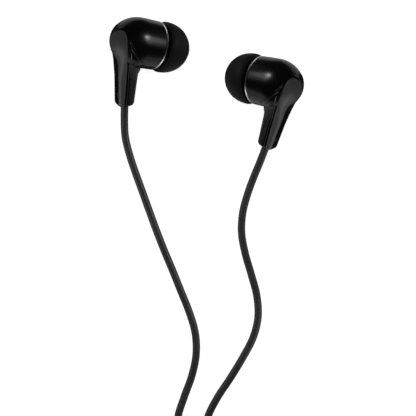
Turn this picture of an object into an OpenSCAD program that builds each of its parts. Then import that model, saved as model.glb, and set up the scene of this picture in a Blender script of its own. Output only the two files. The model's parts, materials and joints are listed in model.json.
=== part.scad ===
// Wired in-ear earphones: two angled earphones on one cord set, with a splitter and a 3.5 mm plug.
// Each earphone is drawn about its nozzle: +X runs out of the nozzle, and the trim ring lies at X = 0.
// The stem leaves the nozzle's axis downwards, and its halves part along the plane that holds the stem.

/* [Housing] */
// Radius of the glossy housing at its widest
housing_r = 6.2; // [6.1:0.05:6.6]
// How much the housing narrows from its widest place to the trim ring
mouth_drop = 0.25; // [0.1:0.05:0.4]
// Distance from the trim ring back to the widest place
belly_back = 5; // [4.6:0.1:5.6]
// Length from the widest place back to the rear pole
tail_len = 7.3; // [7:0.1:8]
// Wall of the stem halves where they cover the housing
skin_t = 0.7; // [0.6:0.05:0.75]
// Wall of the housing under the stem halves
shell_wall = 0.8; // [0.7:0.05:0.9]
// How far the stem halves stand proud of the glossy housing
proud = 0.12; // [0.05:0.01:0.2]
// Clearance between fixed pieces that fit together
fit = 0.05; // [0.03:0.01:0.06]

/* [Trim ring and nozzle] */
// Width of the trim ring along the nozzle
trim_w = 0.5; // [0.4:0.05:0.6]
// Radial depth of the trim ring
trim_t = 0.8; // [0.6:0.05:0.9]
// Outside radius of the nozzle
nozzle_r = 2.3; // [2.2:0.05:2.4]
// Wall of the nozzle
nozzle_wall = 0.6; // [0.5:0.05:0.7]
// How far the nozzle reaches past the trim ring
nozzle_len = 6.2; // [5.8:0.1:6.4]
// Height of the lip that holds the tip
lip_h = 0.35; // [0.25:0.05:0.4]
// Width of that lip
lip_w = 0.6; // [0.5:0.1:0.8]

/* [Ear tip] */
// Largest radius of the ear tip
tip_r = 6.25; // [6:0.05:6.5]
// Distance from the trim ring to the tip's rear rim
tip_gap = 1.4; // [1.2:0.1:1.6]
// Distance from the trim ring to the tip's front
tip_front = 8.75; // [8.5:0.05:8.85]
// Radius of the sound hole in the tip
sound_r = 1.9; // [1.7:0.05:2]
// Wall of the tip's skirt
skirt_t = 0.7; // [0.6:0.05:0.8]
// Wall of the tip's inner sleeve
sleeve_t = 0.7; // [0.6:0.05:0.9]
// Running clearance between the nozzle's lip and the sleeve
tip_run = 0.05; // [0.03:0.01:0.08]

/* [Stem] */
// Angle between the nozzle and the stem
stem_angle = 67; // [64:1:70]
// Distance behind the trim ring at which the stem's axis crosses the nozzle's
stem_back = 9.35; // [9.2:0.05:9.6]
// Length of the stem below that crossing
stem_len = 17.6; // [16.5:0.1:19]
// Depth of the stem, front to back
stem_depth = 4.4; // [4.2:0.1:4.8]
// Width of the stem, side to side
stem_width = 4.3; // [4.1:0.1:4.8]
// Radius of the stem's long corners
stem_corner = 1.3; // [1:0.1:1.5]
// How far the seam leans back over the stem's length
seam_lean = 0.87; // [0.6:0.05:1]
// Width of the gusset under the housing
gusset_w = 5.2; // [4.8:0.1:5.8]
// Width of the stem where it spreads to meet the housing
flare_w = 8.4; // [7.6:0.1:8.8]
// Tilt of the stem's front face, which makes it taper to the bottom
taper_tilt = 10.6; // [9:0.2:11]
// Distance down the stem at which the spread ends
flare_end = 10; // [9:0.5:12]

/* [Driver] */
// Radius of the driver
driver_r = 4.9; // [4.8:0.02:4.94]
// Depth of the front shell's spigot behind the trim ring
spigot_d = 1.6; // [1.4:0.1:1.7]
// Thickness of the foam gasket
gasket_t = 0.4; // [0.3:0.05:0.5]
// Thickness of the surround ring
surround_t = 0.15; // [0.1:0.05:0.2]
// Radius of the diaphragm
cone_r = 3.8; // [3.6:0.05:3.9]
// Thickness of the diaphragm
cone_t = 0.12; // [0.1:0.01:0.15]
// Height of the diaphragm's dome
dome_h = 0.55; // [0.4:0.05:0.6]
// Radius of the voice coil's middle
voice_r = 2.42; // [2.4:0.01:2.46]
// Thickness of the voice coil
voice_t = 0.24; // [0.2:0.02:0.26]
// Radius of the magnet
magnet_r = 2; // [1.8:0.05:2.1]
// Thickness of the magnet
magnet_t = 1.3; // [1.2:0.05:1.4]
// Thickness of the top plate, and of the yoke's floor
plate_t = 0.5; // [0.4:0.05:0.6]
// Radius of the top plate
plate_r = 2.2; // [2.15:0.01:2.25]
// Inside radius of the yoke
yoke_bore = 2.7; // [2.65:0.01:2.75]
// Outside radius of the yoke
yoke_r = 3.3; // [3.2:0.05:3.4]
// Wall and floor of the driver's basket
basket_t = 0.4; // [0.3:0.05:0.45]

/* [Cords] */
// Diameter of the two branch cords
branch_d = 1.9; // [1.7:0.05:1.9]
// Diameter of the trunk cord
trunk_d = 2.2; // [2:0.05:2.2]
// Gap left between neighbouring turns of a coil
turn_gap = 0.5; // [0.45:0.05:0.6]
// Thickness of the ties round the coils
tie_t = 0.3; // [0.25:0.05:0.35]
// Width of the ties
tie_w = 2.5; // [2:0.1:3.5]

/* [Splitter and plug] */
// Length of the splitter
splitter_len = 12; // [11:0.5:12]
// Width of the splitter
splitter_w = 6.6; // [6.2:0.1:7.4]
// Thickness of the splitter
splitter_t = 4.4; // [4:0.1:4.8]
// Radius of the splitter's corners, seen from above
splitter_corner = 1.4; // [1:0.1:1.6]
// Radius of its long edges
splitter_edge = 1.1; // [0.8:0.1:1.3]
// Radius of the plug's grip
grip_r = 3; // [2.8:0.05:3.2]
// Length of the plug's grip
grip_len = 12; // [10:0.5:14]
// Chamfer at both ends of the grip
grip_edge = 0.5; // [0.3:0.1:0.7]
// Width of the grooves round the grip
groove_w = 0.35; // [0.25:0.05:0.45]
// Depth of those grooves
groove_d = 0.16; // [0.1:0.02:0.24]
// Length of the plug's strain relief
relief_len = 7; // [6:0.5:7]
// Radius of the plug's contacts
jack_r = 1.75;
// Length of the plug's contacts, from the grip to the tip
jack_len = 14;

/* [Hidden] */
$fn = 48;
far = 40;

// How the earphones lie: the nozzle points down by nozzle_tilt and the stem comes down to the surface
nozzle_tilt = 35;
nozzle_yaw = -7.3;
roll = -66.1;
turn_right = -21.5;
left_ring_at = [-12.7, 9.55];
right_ring_at = [12.7, 1.1];

// Housing: distances run back from the trim ring
pole_back = belly_back + tail_len;
step = skin_t + fit;
cavity_in = step + shell_wall;
bore_r = driver_r + fit;
mouth_r = housing_r - mouth_drop;
dome_room = 0.65;
foam_clear = 0.45;
surround_back = spigot_d + gasket_t;
basket_back = surround_back + surround_t;
top_plate_back = basket_back + dome_room;
magnet_back = top_plate_back + plate_t;
yoke_floor_back = magnet_back + magnet_t;
yoke_end_back = yoke_floor_back + plate_t;
basket_end_back = yoke_floor_back + 0.1;
board_t = 0.5;
board_top = 0.4;
lead_side = 0.45;
wire_r = 0.2;

// Ear tip
bore_tip_r = nozzle_r + lip_h + tip_run;
dome_len = 7;
belly_x = tip_gap + 0.6;

// Stem
lean = 90 - stem_angle;
cord_r = branch_d / 2;
chamber_r = cord_r + 0.4;
exit_wall = 3.6;
cord_reach = 6.6;
chamber_start = 3;
chamber_end = stem_len - exit_wall;
clamp_len = 1.6;
cord_end_w = stem_len - cord_reach;
gusset_start = 1;
gusset_end = 9.2;
taper_depth = 3.6;
taper_w = stem_width - 0.1;
taper_foot = stem_depth / 2 - 0.22;
flare_back = 0.9;
flare_front = stem_depth / 2 - 0.3;

// Coils: centre, start angle, way round, outer radius of the cord's middle, turns in a layer, layers
branch_pitch = branch_d + turn_gap;
trunk_pitch = trunk_d + turn_gap;
branch_coil_r = 12;
trunk_coil_r = 15;
left_coil_at = [-15, -102];
right_coil_at = [14, -102];
trunk_coil_at = [10.5, -150];
branch_layer_turns = 2;
trunk_layer_turns = 2.4375;
loop_rings = 24;
coil_lift = tie_t + fit;

// Splitter and plug
splitter_at = [-0.5, -119];
entry_gap = 1.65;
plug_at = [-18.5, -145];
grip_at = plug_at.y - relief_len;
jack_at = grip_at - grip_len;
band_ends = [7.2, 7.8, 10, 10.6];
plug_core_r = 0.6;
plug_bush_r = 1;
plug_bush_len = 4;
// Grooves on each side of the grip's middle one
groove_side = 3;
groove_pitch = 2.1 * groove_w;

// Outline of the ear tip's dome: a rounded cone that is widest near its rear rim
function dome_r(x) = tip_r * pow(1 - pow(max(0, x - belly_x) / dome_len, 2.2), 1 / 1.9);
dome_steps = 14;
dome_points = [for (i = [0:dome_steps])
  let (x = belly_x + (tip_front - 0.35 - belly_x) * i / dome_steps) [x, dome_r(x)]];
inner_front = nozzle_len + 1.1;
inner_points = [for (i = [0:dome_steps])
  let (x = tip_gap + 0.05 + (inner_front - tip_gap) * (1 - i / dome_steps))
  [x - 0.35, max(bore_tip_r + sleeve_t, dome_r(x) - skirt_t)]];
rest_h = max([for (p = dome_points) p.x * sin(nozzle_tilt) + p.y * cos(nozzle_tilt)]);

// Outline of the housing, from the rear pole to the trim ring, moved in by d
function shell_r(x, d) =
  let (back = -x - belly_back)
  back > 0 ? (housing_r - d) * sqrt(max(0, 1 - pow(back / (tail_len - d), 2)))
           : housing_r - d - mouth_drop * pow(back / belly_back, 2);
shell_steps = 16;
function shell_points(d, front) = concat([[0, -pole_back + d]],
  [for (i = [1:shell_steps]) let (a = 90 * i / shell_steps)
    [(housing_r - d) * sin(a), -belly_back - (tail_len - d) * cos(a)]],
  [for (i = [1:6]) let (x = -belly_back + (belly_back + front) * i / 6) [shell_r(x, d), x]],
  [[0, front]]);

// Turning a point about an axis
function turn_x(p, a) = [p.x, p.y * cos(a) - p.z * sin(a), p.y * sin(a) + p.z * cos(a)];
function turn_y(p, a) = [p.x * cos(a) + p.z * sin(a), p.y, p.z * cos(a) - p.x * sin(a)];
function turn_z(p, a) = [p.x * cos(a) - p.y * sin(a), p.x * sin(a) + p.y * cos(a), p.z];
function laid(p) = turn_z(turn_y(turn_x(p, roll), nozzle_tilt), nozzle_yaw);
function laid_left(p) = laid(p);
function laid_right(p) = let (q = laid(p)) turn_z([-q.x, q.y, q.z], turn_right);

// A place in the stem: u forward, v sideways, w down the stem from the crossing
function in_stem(u, v, w) =
  [-stem_back + u * cos(lean) + w * sin(lean), v, u * sin(lean) - w * cos(lean)];
down_stem = [sin(lean), 0, -cos(lean)];
left_exit = [left_ring_at.x, left_ring_at.y, rest_h] + laid_left(in_stem(0, 0, stem_len));
right_exit = [right_ring_at.x, right_ring_at.y, rest_h] + laid_right(in_stem(0, 0, stem_len));

// Route of each free stretch of cord, hand laid on the surface that the earphones lie on
branch_z = branch_d / 2;
branch_top_z = branch_z + coil_lift + branch_pitch;
trunk_z = trunk_d / 2;
trunk_top_z = trunk_z + coil_lift + 3 * trunk_pitch;
splitter_z = splitter_t / 2;
left_route = concat([left_exit], [for (p = [
  [-20.5, -8.6, 1.5], [-20.3, -12.5, 1], [-19.3, -16.7, 1], [-17.9, -21, 1], [-16.2, -25.7, 1],
  [-14.4, -30.7, 1], [-12.5, -35.9, 1], [-10.5, -41, 1], [-8.4, -46, 1], [-6.4, -51, 1],
  [-4.4, -56, 1], [-2.9, -61.3, 1], [-2.7, -66.7, 1], [-3.8, -72, 1], [-5.6, -77, 1],
  [-7.2, -82.2, 1], [-7, -87.2, 1], [-5.2, -91.9, 1.1], [-3.6, -96.6, 1.2]])
    [p.x, p.y, p.z * branch_z]],
  [[left_coil_at.x + branch_coil_r, left_coil_at.y + branch_d, branch_z + coil_lift]]);
right_route = concat([right_exit], [for (p = [
  [13.1, -18.9, 1.5], [11.5, -22.8, 1], [10, -27, 1], [8.9, -31.3, 1], [8.6, -36.2, 1],
  [9.5, -41.4, 1], [11, -46.6, 1], [12.4, -52, 1], [12.7, -57.3, 1], [11.5, -62.3, 1],
  [9.1, -67, 1], [5.9, -72.3, 1], [2.6, -77.3, 1], [0.2, -82.2, 1], [-0.6, -87.4, 1],
  [0.2, -92.4, 1.1], [1.5, -96.8, 1.2]])
    [p.x, p.y, p.z * branch_z]],
  [[right_coil_at.x - branch_coil_r, right_coil_at.y + branch_d, branch_z + coil_lift]]);
left_lead_route = [
  [left_coil_at.x + branch_coil_r, left_coil_at.y - branch_d, branch_top_z],
  [-2.9, -108.3, 3.5], [-2.6, -112.5, 2.7], [-2.3, -116, 2.3],
  [splitter_at.x - entry_gap, splitter_at.y, splitter_z]];
right_lead_route = [
  [right_coil_at.x - branch_coil_r, right_coil_at.y - branch_d, branch_top_z],
  [1.9, -108.3, 3.5], [1.6, -112.5, 2.7], [1.3, -116, 2.3],
  [splitter_at.x + entry_gap, splitter_at.y, splitter_z]];
trunk_route = [
  [splitter_at.x, splitter_at.y - splitter_len, splitter_z],
  [-0.9, -135, 2], [-2.3, -139.5, 1.6], [-3.8, -143.8, 1.5],
  [trunk_coil_at.x - trunk_coil_r, trunk_coil_at.y + trunk_d, trunk_z + coil_lift]];
trunk_lead_route = [
  [trunk_coil_at.x - trunk_d, trunk_coil_at.y + trunk_coil_r, trunk_top_z],
  [3.5, -135, 9.3], [-1.5, -135, 8], [-6.2, -135, 6], [-10.8, -135.5, 4.3],
  [-14.8, -136.9, 3.4], [-17.5, -139.5, 3], [-18.4, -142.6, 3],
  [plug_at.x, plug_at.y, grip_r]];

// Middle of a coil's cord: it spirals in and out again, and climbs a layer where it turns back
function coil_radius(turn, outer, pitch, per_layer) =
  let (k = floor(turn / per_layer), s = turn - k * per_layer)
  outer - pitch * (k % 2 == 0 ? s : per_layer - s);
function coil_climb(turn, pitch, per_layer, layers) =
  pitch * sum_of([for (k = [1:layers - 1]) min(1, max(0, 2 * (turn - k * per_layer) + 0.5))]);
function sum_of(list, i = 0) = i < len(list) ? list[i] + sum_of(list, i + 1) : 0;
function coil_points(at, start, way, outer, pitch, per_layer, layers, d) =
  let (n = round(per_layer * layers * loop_rings), z0 = d / 2 + coil_lift,
       mid = [for (i = [0:n]) let (turn = i / loop_rings, a = start + way * 360 * turn,
              r = coil_radius(turn, outer, pitch, per_layer))
              [at.x + r * cos(a), at.y + r * sin(a),
               z0 + coil_climb(turn, pitch, per_layer, layers)]],
       a0 = start, a1 = start + way * 360 * n / loop_rings)
  concat([mid[0] - way * d * [-sin(a0), cos(a0), 0]], mid,
         [mid[n] + way * d * [-sin(a1), cos(a1), 0]]);
left_coil_points = coil_points(left_coil_at, 0, -1, branch_coil_r, branch_pitch,
  branch_layer_turns, 2, branch_d);
right_coil_points = coil_points(right_coil_at, 180, 1, branch_coil_r, branch_pitch,
  branch_layer_turns, 2, branch_d);
trunk_coil_points = coil_points(trunk_coil_at, 180, 1, trunk_coil_r, trunk_pitch,
  trunk_layer_turns, 4, trunk_d);

// Least gap of a coil to itself, over points at least half a turn apart
function least_gap(p, d) = min([for (i = [0:len(p) - 1])
  for (j = [i + loop_rings / 2:1:len(p) - 1]) norm(p[i] - p[j])]) - d;
function route_len(p) = sum_of([for (i = [1:len(p) - 1]) norm(p[i] - p[i - 1])]);
union() {
  echo(left_coil_gap = least_gap(left_coil_points, branch_d));
  echo(right_coil_gap = least_gap(right_coil_points, branch_d));
  echo(trunk_coil_gap = least_gap(trunk_coil_points, trunk_d));
  echo(left_branch = route_len(left_route) + route_len(left_coil_points) + route_len(left_lead_route));
  echo(right_branch = route_len(right_route) + route_len(right_coil_points)
    + route_len(right_lead_route));
  echo(trunk = route_len(trunk_route) + route_len(trunk_coil_points) + route_len(trunk_lead_route));
}

// A tube swept along points, its end faces square to the given directions
function unit(p) = p / norm(p);
module tube(p, d, sides, first, last) {
  n = len(p) - 1;
  along = [for (i = [0:n]) i == 0 ? unit(first) : i == n ? unit(last) : unit(p[i + 1] - p[i - 1])];
  ring = [for (i = [0:n]) let (s = unit(cross(along[i], [0, 0, 1])), t = cross(s, along[i]))
    for (j = [0:sides - 1]) let (a = 360 * (j + 0.5) / sides)
      p[i] + d / 2 * (cos(a) * s + sin(a) * t)];
  side = [for (i = [0:n - 1]) for (j = [0:sides - 1]) for (k = [0, 1])
    let (a = i * sides + j, b = i * sides + (j + 1) % sides)
      k == 0 ? [a, b, b + sides] : [a, b + sides, a + sides]];
  ends = [for (j = [1:sides - 2]) for (k = [0, 1])
    k == 0 ? [0, j + 1, j] : [n * sides, n * sides + j, n * sides + j + 1]];
  polyhedron(points = ring, faces = concat(side, ends), convexity = 6);
}

// Frames
module laid_left() {
  translate([left_ring_at.x, left_ring_at.y, rest_h]) rotate([roll, nozzle_tilt, nozzle_yaw]) children();
}
module laid_right() {
  translate([right_ring_at.x, right_ring_at.y, rest_h]) rotate([0, 0, turn_right])
    mirror([1, 0, 0]) rotate([roll, nozzle_tilt, nozzle_yaw]) children();
}
module about_nozzle() {
  rotate([0, 90, 0]) rotate_extrude() children();
}
module disc(r, back, front) {
  translate([back, 0, 0]) rotate([0, 90, 0]) cylinder(r = r, h = front - back);
}
module stem_frame() {
  translate([-stem_back, 0, 0]) rotate([0, -lean, 0]) children();
}
module side_cut(points) {
  rotate([90, 0, 0]) linear_extrude(height = far, center = true) polygon(points);
}
module shell_body(d, front) {
  about_nozzle() polygon(shell_points(d, front));
}
module rounded_rect(a, b, r) {
  square([a - 2 * r, b], center = true);
  square([a, b - 2 * r], center = true);
  for (x = [-1, 1], y = [-1, 1]) translate([x * (a / 2 - r), y * (b / 2 - r)]) circle(r = r);
}

// Shapes shared by the stem's halves, in the stem's own frame with w running down
cover_edge = [[-1.05, 3.3], [-0.6, 2.75], [-0.38, 1]];
collar_edge = [[-0.05, 12], [-0.05, 2.4], [0.1, 1.4], [0.65, -0.2], [1.5, -1.8], [2.6, -3.8],
  [3.8, -5.6], [4.1, -6.8], [4, -8.1], [3.55, -9.2]];
module cover_zone(gap) {
  side_cut(concat([[-far, cover_edge[0].y + gap]], [for (p = cover_edge) p + [gap, gap]],
    [[-seam_lean + gap, -stem_len], [-seam_lean + gap, -far], [-far, -far]]));
}
module collar_zone(gap) {
  side_cut(concat([[-far, collar_edge[0].y + gap]], [for (p = collar_edge) p + [gap, gap]],
    [[collar_edge[len(collar_edge) - 1].x, -far], [-far, -far]]));
}
module stem_bar() {
  translate([0, 0, -stem_len]) linear_extrude(height = stem_len)
    rounded_rect(stem_depth, stem_width, stem_corner);
}
module gusset() {
  translate([0, 0, -gusset_end]) linear_extrude(height = gusset_end - gusset_start)
    translate([1.9, 0]) rounded_rect(stem_depth, gusset_w, stem_corner);
}
module taper() {
  intersection() {
    translate([taper_foot, 0, -stem_len]) rotate([0, taper_tilt, 0]) translate([-taper_depth / 2, 0, -2])
      linear_extrude(height = stem_len - gusset_start) rounded_rect(taper_depth, taper_w, stem_corner);
    translate([-far / 2, -far / 2, -stem_len]) cube([far, far, stem_len - gusset_start]);
  }
}
module stem_flare() {
  translate([-flare_back, 0, 0]) rotate([90, 0, 90]) linear_extrude(height = flare_back + flare_front)
    polygon([[-flare_w / 2, 0], [-flare_w / 2, -2], [-stem_width / 2, -flare_end],
      [stem_width / 2, -flare_end], [flare_w / 2, -2], [flare_w / 2, 0]]);
}
module stem_space() {
  translate([0, 0, -chamber_end]) cylinder(r = chamber_r, h = chamber_end - chamber_start);
  translate([0, 0, -stem_len - 1]) cylinder(r = cord_r + fit, h = stem_len);
}
module stem_outer() {
  stem_bar();
  stem_flare();
  translate([stem_back * cos(lean), 0, -stem_back * sin(lean)]) rotate([0, lean, 0])
    shell_body(-proud, -1);
}
module shell_step() {
  translate([stem_back * cos(lean), 0, -stem_back * sin(lean)]) rotate([0, lean, 0])
    shell_body(skin_t, -1);
}

// One earphone's pieces
module rear_shell() {
  color([0.02, 0.02, 0.022]) difference() {
    shell_body(0, -trim_w);
    difference() {
      stem_frame() collar_zone(fit);
      shell_body(step, 1);
    }
    shell_body(cavity_in, -basket_end_back);
    disc(bore_r, -basket_end_back - fit, 1);
    stem_frame() translate([0, 0, -housing_r - chamber_start]) cylinder(r = chamber_r, h = housing_r + 1);
  }
}
module stem_base() {
  color([0.07, 0.07, 0.072]) stem_frame() difference() {
    intersection() {
      union() {
        stem_outer();
        gusset();
        taper();
      }
      collar_zone(0);
    }
    cover_zone(fit / 2);
    shell_step();
    stem_space();
  }
}
module stem_cover() {
  color([0.16, 0.16, 0.165]) stem_frame() difference() {
    intersection() {
      stem_outer();
      cover_zone(-fit / 2);
    }
    shell_step();
    stem_space();
  }
}
module trim_ring() {
  color([0.8, 0.8, 0.81]) difference() {
    disc(mouth_r + 0.03, -trim_w, 0);
    disc(mouth_r - trim_t, -1, 1);
  }
}
module front_shell() {
  face_r = mouth_r - trim_t - fit;
  color([0.03, 0.03, 0.032]) difference() {
    about_nozzle() polygon([[0, -spigot_d], [bore_r - fit, -spigot_d], [bore_r - fit, -trim_w],
      [face_r, -trim_w], [face_r, 0], [nozzle_r + 1.2, 0.35], [nozzle_r, 1.3],
      [nozzle_r, nozzle_len - 1 - lip_w], [nozzle_r + lip_h, nozzle_len - 0.6 - lip_w],
      [nozzle_r + lip_h, nozzle_len - 0.6], [nozzle_r, nozzle_len], [0, nozzle_len]]);
    disc(nozzle_r - nozzle_wall, -spigot_d - 1, nozzle_len + 1);
    disc(bore_r - fit - 0.75, -spigot_d - 1, -trim_w);
  }
}
module nozzle_mesh() {
  color([0.6, 0.6, 0.6]) disc(nozzle_r - nozzle_wall, nozzle_len - 0.25, nozzle_len - 0.1);
}
module nozzle_damper() {
  color([0.85, 0.85, 0.8]) disc(nozzle_r - nozzle_wall - fit, nozzle_len - 0.95, nozzle_len - 0.25);
}
module ear_tip() {
  color([0.05, 0.05, 0.052]) about_nozzle() polygon([for (p = concat(
    [[tip_gap, tip_r - 0.45], [tip_gap + 0.15, tip_r - 0.15]], dome_points,
    [[tip_front - 0.1, sound_r + 0.35], [tip_front, sound_r + 0.1], [tip_front, sound_r],
     [nozzle_len + 0.15, sound_r], [nozzle_len + 0.15, bore_tip_r], [tip_gap + 0.9, bore_tip_r],
     [tip_gap + 0.9, bore_tip_r + sleeve_t]], inner_points)) [p.y, p.x]]);
}
module gasket() {
  color([0.25, 0.25, 0.27]) difference() {
    disc(driver_r, -surround_back, -spigot_d);
    disc(cone_r + foam_clear, -basket_back, 0);
  }
}
module surround() {
  color([0.75, 0.7, 0.55]) difference() {
    disc(driver_r, -basket_back, -surround_back);
    disc(cone_r + tip_run, -9, 0);
  }
}
module diaphragm() {
  mid = -surround_back - cone_t / 2;
  color([0.85, 0.8, 0.6]) about_nozzle() polygon([[0, mid + dome_h], [voice_r * 0.6, mid + dome_h * 0.72],
    [voice_r, mid + cone_t / 2], [cone_r, mid + cone_t / 2], [cone_r, mid - cone_t / 2],
    [voice_r + voice_t / 2, mid - cone_t / 2], [voice_r + voice_t / 2, mid - 1.6],
    [voice_r - voice_t / 2, mid - 1.6], [voice_r - voice_t / 2, mid - cone_t / 2],
    [voice_r * 0.6, mid + dome_h * 0.72 - cone_t], [0, mid + dome_h - cone_t]]);
}
module basket() {
  color([0.55, 0.55, 0.58]) difference() {
    disc(driver_r, -basket_end_back, -basket_back);
    disc(driver_r - basket_t, -basket_end_back + basket_t, 0);
    disc(yoke_r + fit, -9, 0);
  }
}
module yoke() {
  color([0.62, 0.62, 0.64]) difference() {
    disc(yoke_r, -yoke_end_back, -top_plate_back);
    disc(yoke_bore, -yoke_floor_back, 0);
  }
}
module magnet() {
  color([0.7, 0.7, 0.72]) disc(magnet_r, -yoke_floor_back, -magnet_back);
}
module top_plate() {
  color([0.62, 0.62, 0.64]) disc(plate_r, -magnet_back, -top_plate_back);
}
module terminal_board() {
  color([0.1, 0.35, 0.15]) intersection() {
    disc(yoke_r - 0.4, -yoke_end_back - board_t, -yoke_end_back);
    translate([-far, -far / 2, board_top - far]) cube(far);
  }
}
module leads() {
  board_x = -yoke_end_back - board_t;
  color([0.7, 0.2, 0.1]) for (v = [-lead_side, lead_side])
    tube([in_stem(0, v, cord_end_w), in_stem(0, v, 8.5), in_stem(0.1, v, 6), in_stem(0.7, v, 4.2),
      in_stem(1.5, v, 2.9), [board_x, v, -1]], 2 * wire_r, 6, -down_stem, [1, 0, 0]);
}
module cord_clamp() {
  color([0.72, 0.6, 0.3]) stem_frame() translate([0, 0, -chamber_end]) difference() {
    cylinder(r = chamber_r - fit, h = clamp_len);
    translate([0, 0, -1]) cylinder(r = cord_r, h = clamp_len + 2);
  }
}
module cord_end() {
  color([0.1, 0.1, 0.1]) stem_frame() translate([0, 0, -stem_len])
    cylinder(r = cord_r, h = stem_len - cord_end_w);
}

// Cord set
module coil_tie(at, angle, outer, pitch, per_layer, layers, d) {
  inner = outer - pitch * per_layer;
  wide = outer - inner + d + 2 * fit;
  high = d + pitch * (layers - 1) + 2 * fit;
  color([0.05, 0.05, 0.05]) translate([at.x, at.y, 0]) rotate([0, 0, angle])
    translate([(outer + inner) / 2, 0, tie_t + high / 2]) rotate([90, 0, 0])
      linear_extrude(height = tie_w, center = true) difference() {
        rounded_rect(wide + 2 * tie_t, high + 2 * tie_t, tie_t * 1.5);
        square([wide, high], center = true);
      }
}
module splitter_body() {
  translate([splitter_at.x, splitter_at.y - splitter_len / 2, 0]) intersection() {
    linear_extrude(height = splitter_t) rounded_rect(splitter_w, splitter_len, splitter_corner);
    translate([0, splitter_len / 2, splitter_z]) rotate([90, 0, 0])
      linear_extrude(height = splitter_len) rounded_rect(splitter_w, splitter_t, splitter_edge);
  }
}
module splitter_space(grow) {
  translate([splitter_at.x, splitter_at.y, splitter_z]) {
    for (x = [-1, 1]) translate([x * entry_gap, 0, 0]) rotate([90, 0, 0])
      cylinder(r = cord_r + grow, h = 4);
    translate([0, -splitter_len, 0]) rotate([-90, 0, 0]) cylinder(r = trunk_d / 2 + grow, h = 4);
    translate([0, -splitter_len / 2, 0])
      cube([2 * entry_gap + 1.6 + 2 * grow, splitter_len - 6 + 2 * grow, 1.8 + 2 * grow], center = true);
  }
}
module splitter_half(low) {
  color([0.05, 0.05, 0.052]) difference() {
    intersection() {
      splitter_body();
      translate([splitter_at.x - far / 2, splitter_at.y - far / 2, low ? 0 : splitter_z + fit / 2])
        cube([far, far, splitter_z - fit / 2]);
    }
    splitter_space(fit);
  }
}
// The plug lies along Y and its tip points to -Y
module plug_frame() {
  translate([plug_at.x, 0, grip_r]) rotate([90, 0, 0]) children();
}
module band(from, to) {
  plug_frame() difference() {
    translate([0, 0, -jack_at + from]) cylinder(r = jack_r, h = to - from);
    translate([0, 0, -jack_at - 1]) cylinder(r = plug_bush_r, h = jack_len);
  }
}
module grip_groove(at) {
  translate([0, 0, -grip_at + at]) difference() {
    cylinder(r = grip_r + 1, h = groove_w, center = true);
    cylinder(r = grip_r - groove_d, h = groove_w, center = true);
  }
}
module plug_grip() {
  color([0.05, 0.05, 0.052]) plug_frame() difference() {
    union() {
      translate([0, 0, -grip_at]) rotate_extrude() polygon([[0, 0], [grip_r - grip_edge, 0],
        [grip_r, grip_edge], [grip_r, grip_len - grip_edge], [grip_r - grip_edge, grip_len], [0, grip_len]]);
      translate([0, 0, -plug_at.y]) rotate_extrude()
        polygon([[0, 0], [trunk_d / 2 + 0.5, 0], [grip_r - 0.6, relief_len], [0, relief_len]]);
    }
    translate([0, 0, -jack_at - plug_bush_len])
      cylinder(r = plug_bush_r + fit, h = plug_bush_len + 1);
    for (i = [-groove_side:groove_side]) grip_groove(grip_len / 2 + i * groove_pitch);
  }
}
module plug_insulators() {
  color([0.02, 0.02, 0.02]) plug_frame() difference() {
    union() {
      translate([0, 0, -jack_at - plug_bush_len])
        cylinder(r = plug_bush_r, h = plug_bush_len + band_ends[3]);
      for (i = [0, 2]) translate([0, 0, -jack_at + band_ends[i]])
        cylinder(r = jack_r, h = band_ends[i + 1] - band_ends[i]);
    }
    translate([0, 0, -jack_at - plug_bush_len - 1])
      cylinder(r = plug_core_r, h = plug_bush_len + jack_len + 2);
  }
}
module plug_tip() {
  start = band_ends[3];
  color([0.85, 0.68, 0.35]) plug_frame() translate([0, 0, -jack_at]) difference() {
    rotate_extrude() polygon([[0, start], [1.45, start], [1.15, start + 0.9], [1.6, start + 1.5],
      [1.45, start + 2.2], [0.5, jack_len - 0.15], [0, jack_len]]);
    translate([0, 0, start - 1]) cylinder(r = plug_core_r, h = 2.4);
  }
}
module plug_core() {
  color([0.85, 0.68, 0.35]) plug_frame() translate([0, 0, -jack_at - 4])
    cylinder(r = plug_core_r, h = 4 + band_ends[3] + 1.4);
}
module cord_tube(p, d, first, last) {
  color([0.16, 0.16, 0.16]) tube(p, d, 8, first, last);
}
module coil_tube(p, d) {
  n = len(p) - 1;
  color([0.16, 0.16, 0.16]) tube(p, d, 6, p[1] - p[0], p[n] - p[n - 1]);
}

laid_left() ear_tip();  // left_ear_tip
laid_left() nozzle_mesh();  // left_nozzle_mesh
laid_left() nozzle_damper();  // left_nozzle_damper
laid_left() front_shell();  // left_front_shell
laid_left() trim_ring();  // left_trim_ring
laid_left() rear_shell();  // left_rear_shell
laid_left() stem_base();  // left_stem_base
laid_left() stem_cover();  // left_stem_cover
laid_left() cord_clamp();  // left_cord_clamp
laid_left() cord_end();  // left_cord_end
laid_left() leads();  // left_leads
laid_left() basket();  // left_basket
laid_left() yoke();  // left_yoke
laid_left() magnet();  // left_magnet
laid_left() top_plate();  // left_top_plate
laid_left() diaphragm();  // left_diaphragm
laid_left() surround();  // left_surround
laid_left() gasket();  // left_gasket
laid_left() terminal_board();  // left_terminal_board
laid_right() ear_tip();  // right_ear_tip
laid_right() nozzle_mesh();  // right_nozzle_mesh
laid_right() nozzle_damper();  // right_nozzle_damper
laid_right() front_shell();  // right_front_shell
laid_right() trim_ring();  // right_trim_ring
laid_right() rear_shell();  // right_rear_shell
laid_right() stem_base();  // right_stem_base
laid_right() stem_cover();  // right_stem_cover
laid_right() cord_clamp();  // right_cord_clamp
laid_right() cord_end();  // right_cord_end
laid_right() leads();  // right_leads
laid_right() basket();  // right_basket
laid_right() yoke();  // right_yoke
laid_right() magnet();  // right_magnet
laid_right() top_plate();  // right_top_plate
laid_right() diaphragm();  // right_diaphragm
laid_right() surround();  // right_surround
laid_right() gasket();  // right_gasket
laid_right() terminal_board();  // right_terminal_board
cord_tube(left_route, branch_d, laid_left(down_stem), [0, -1, 0]);  // left_cord
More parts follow.
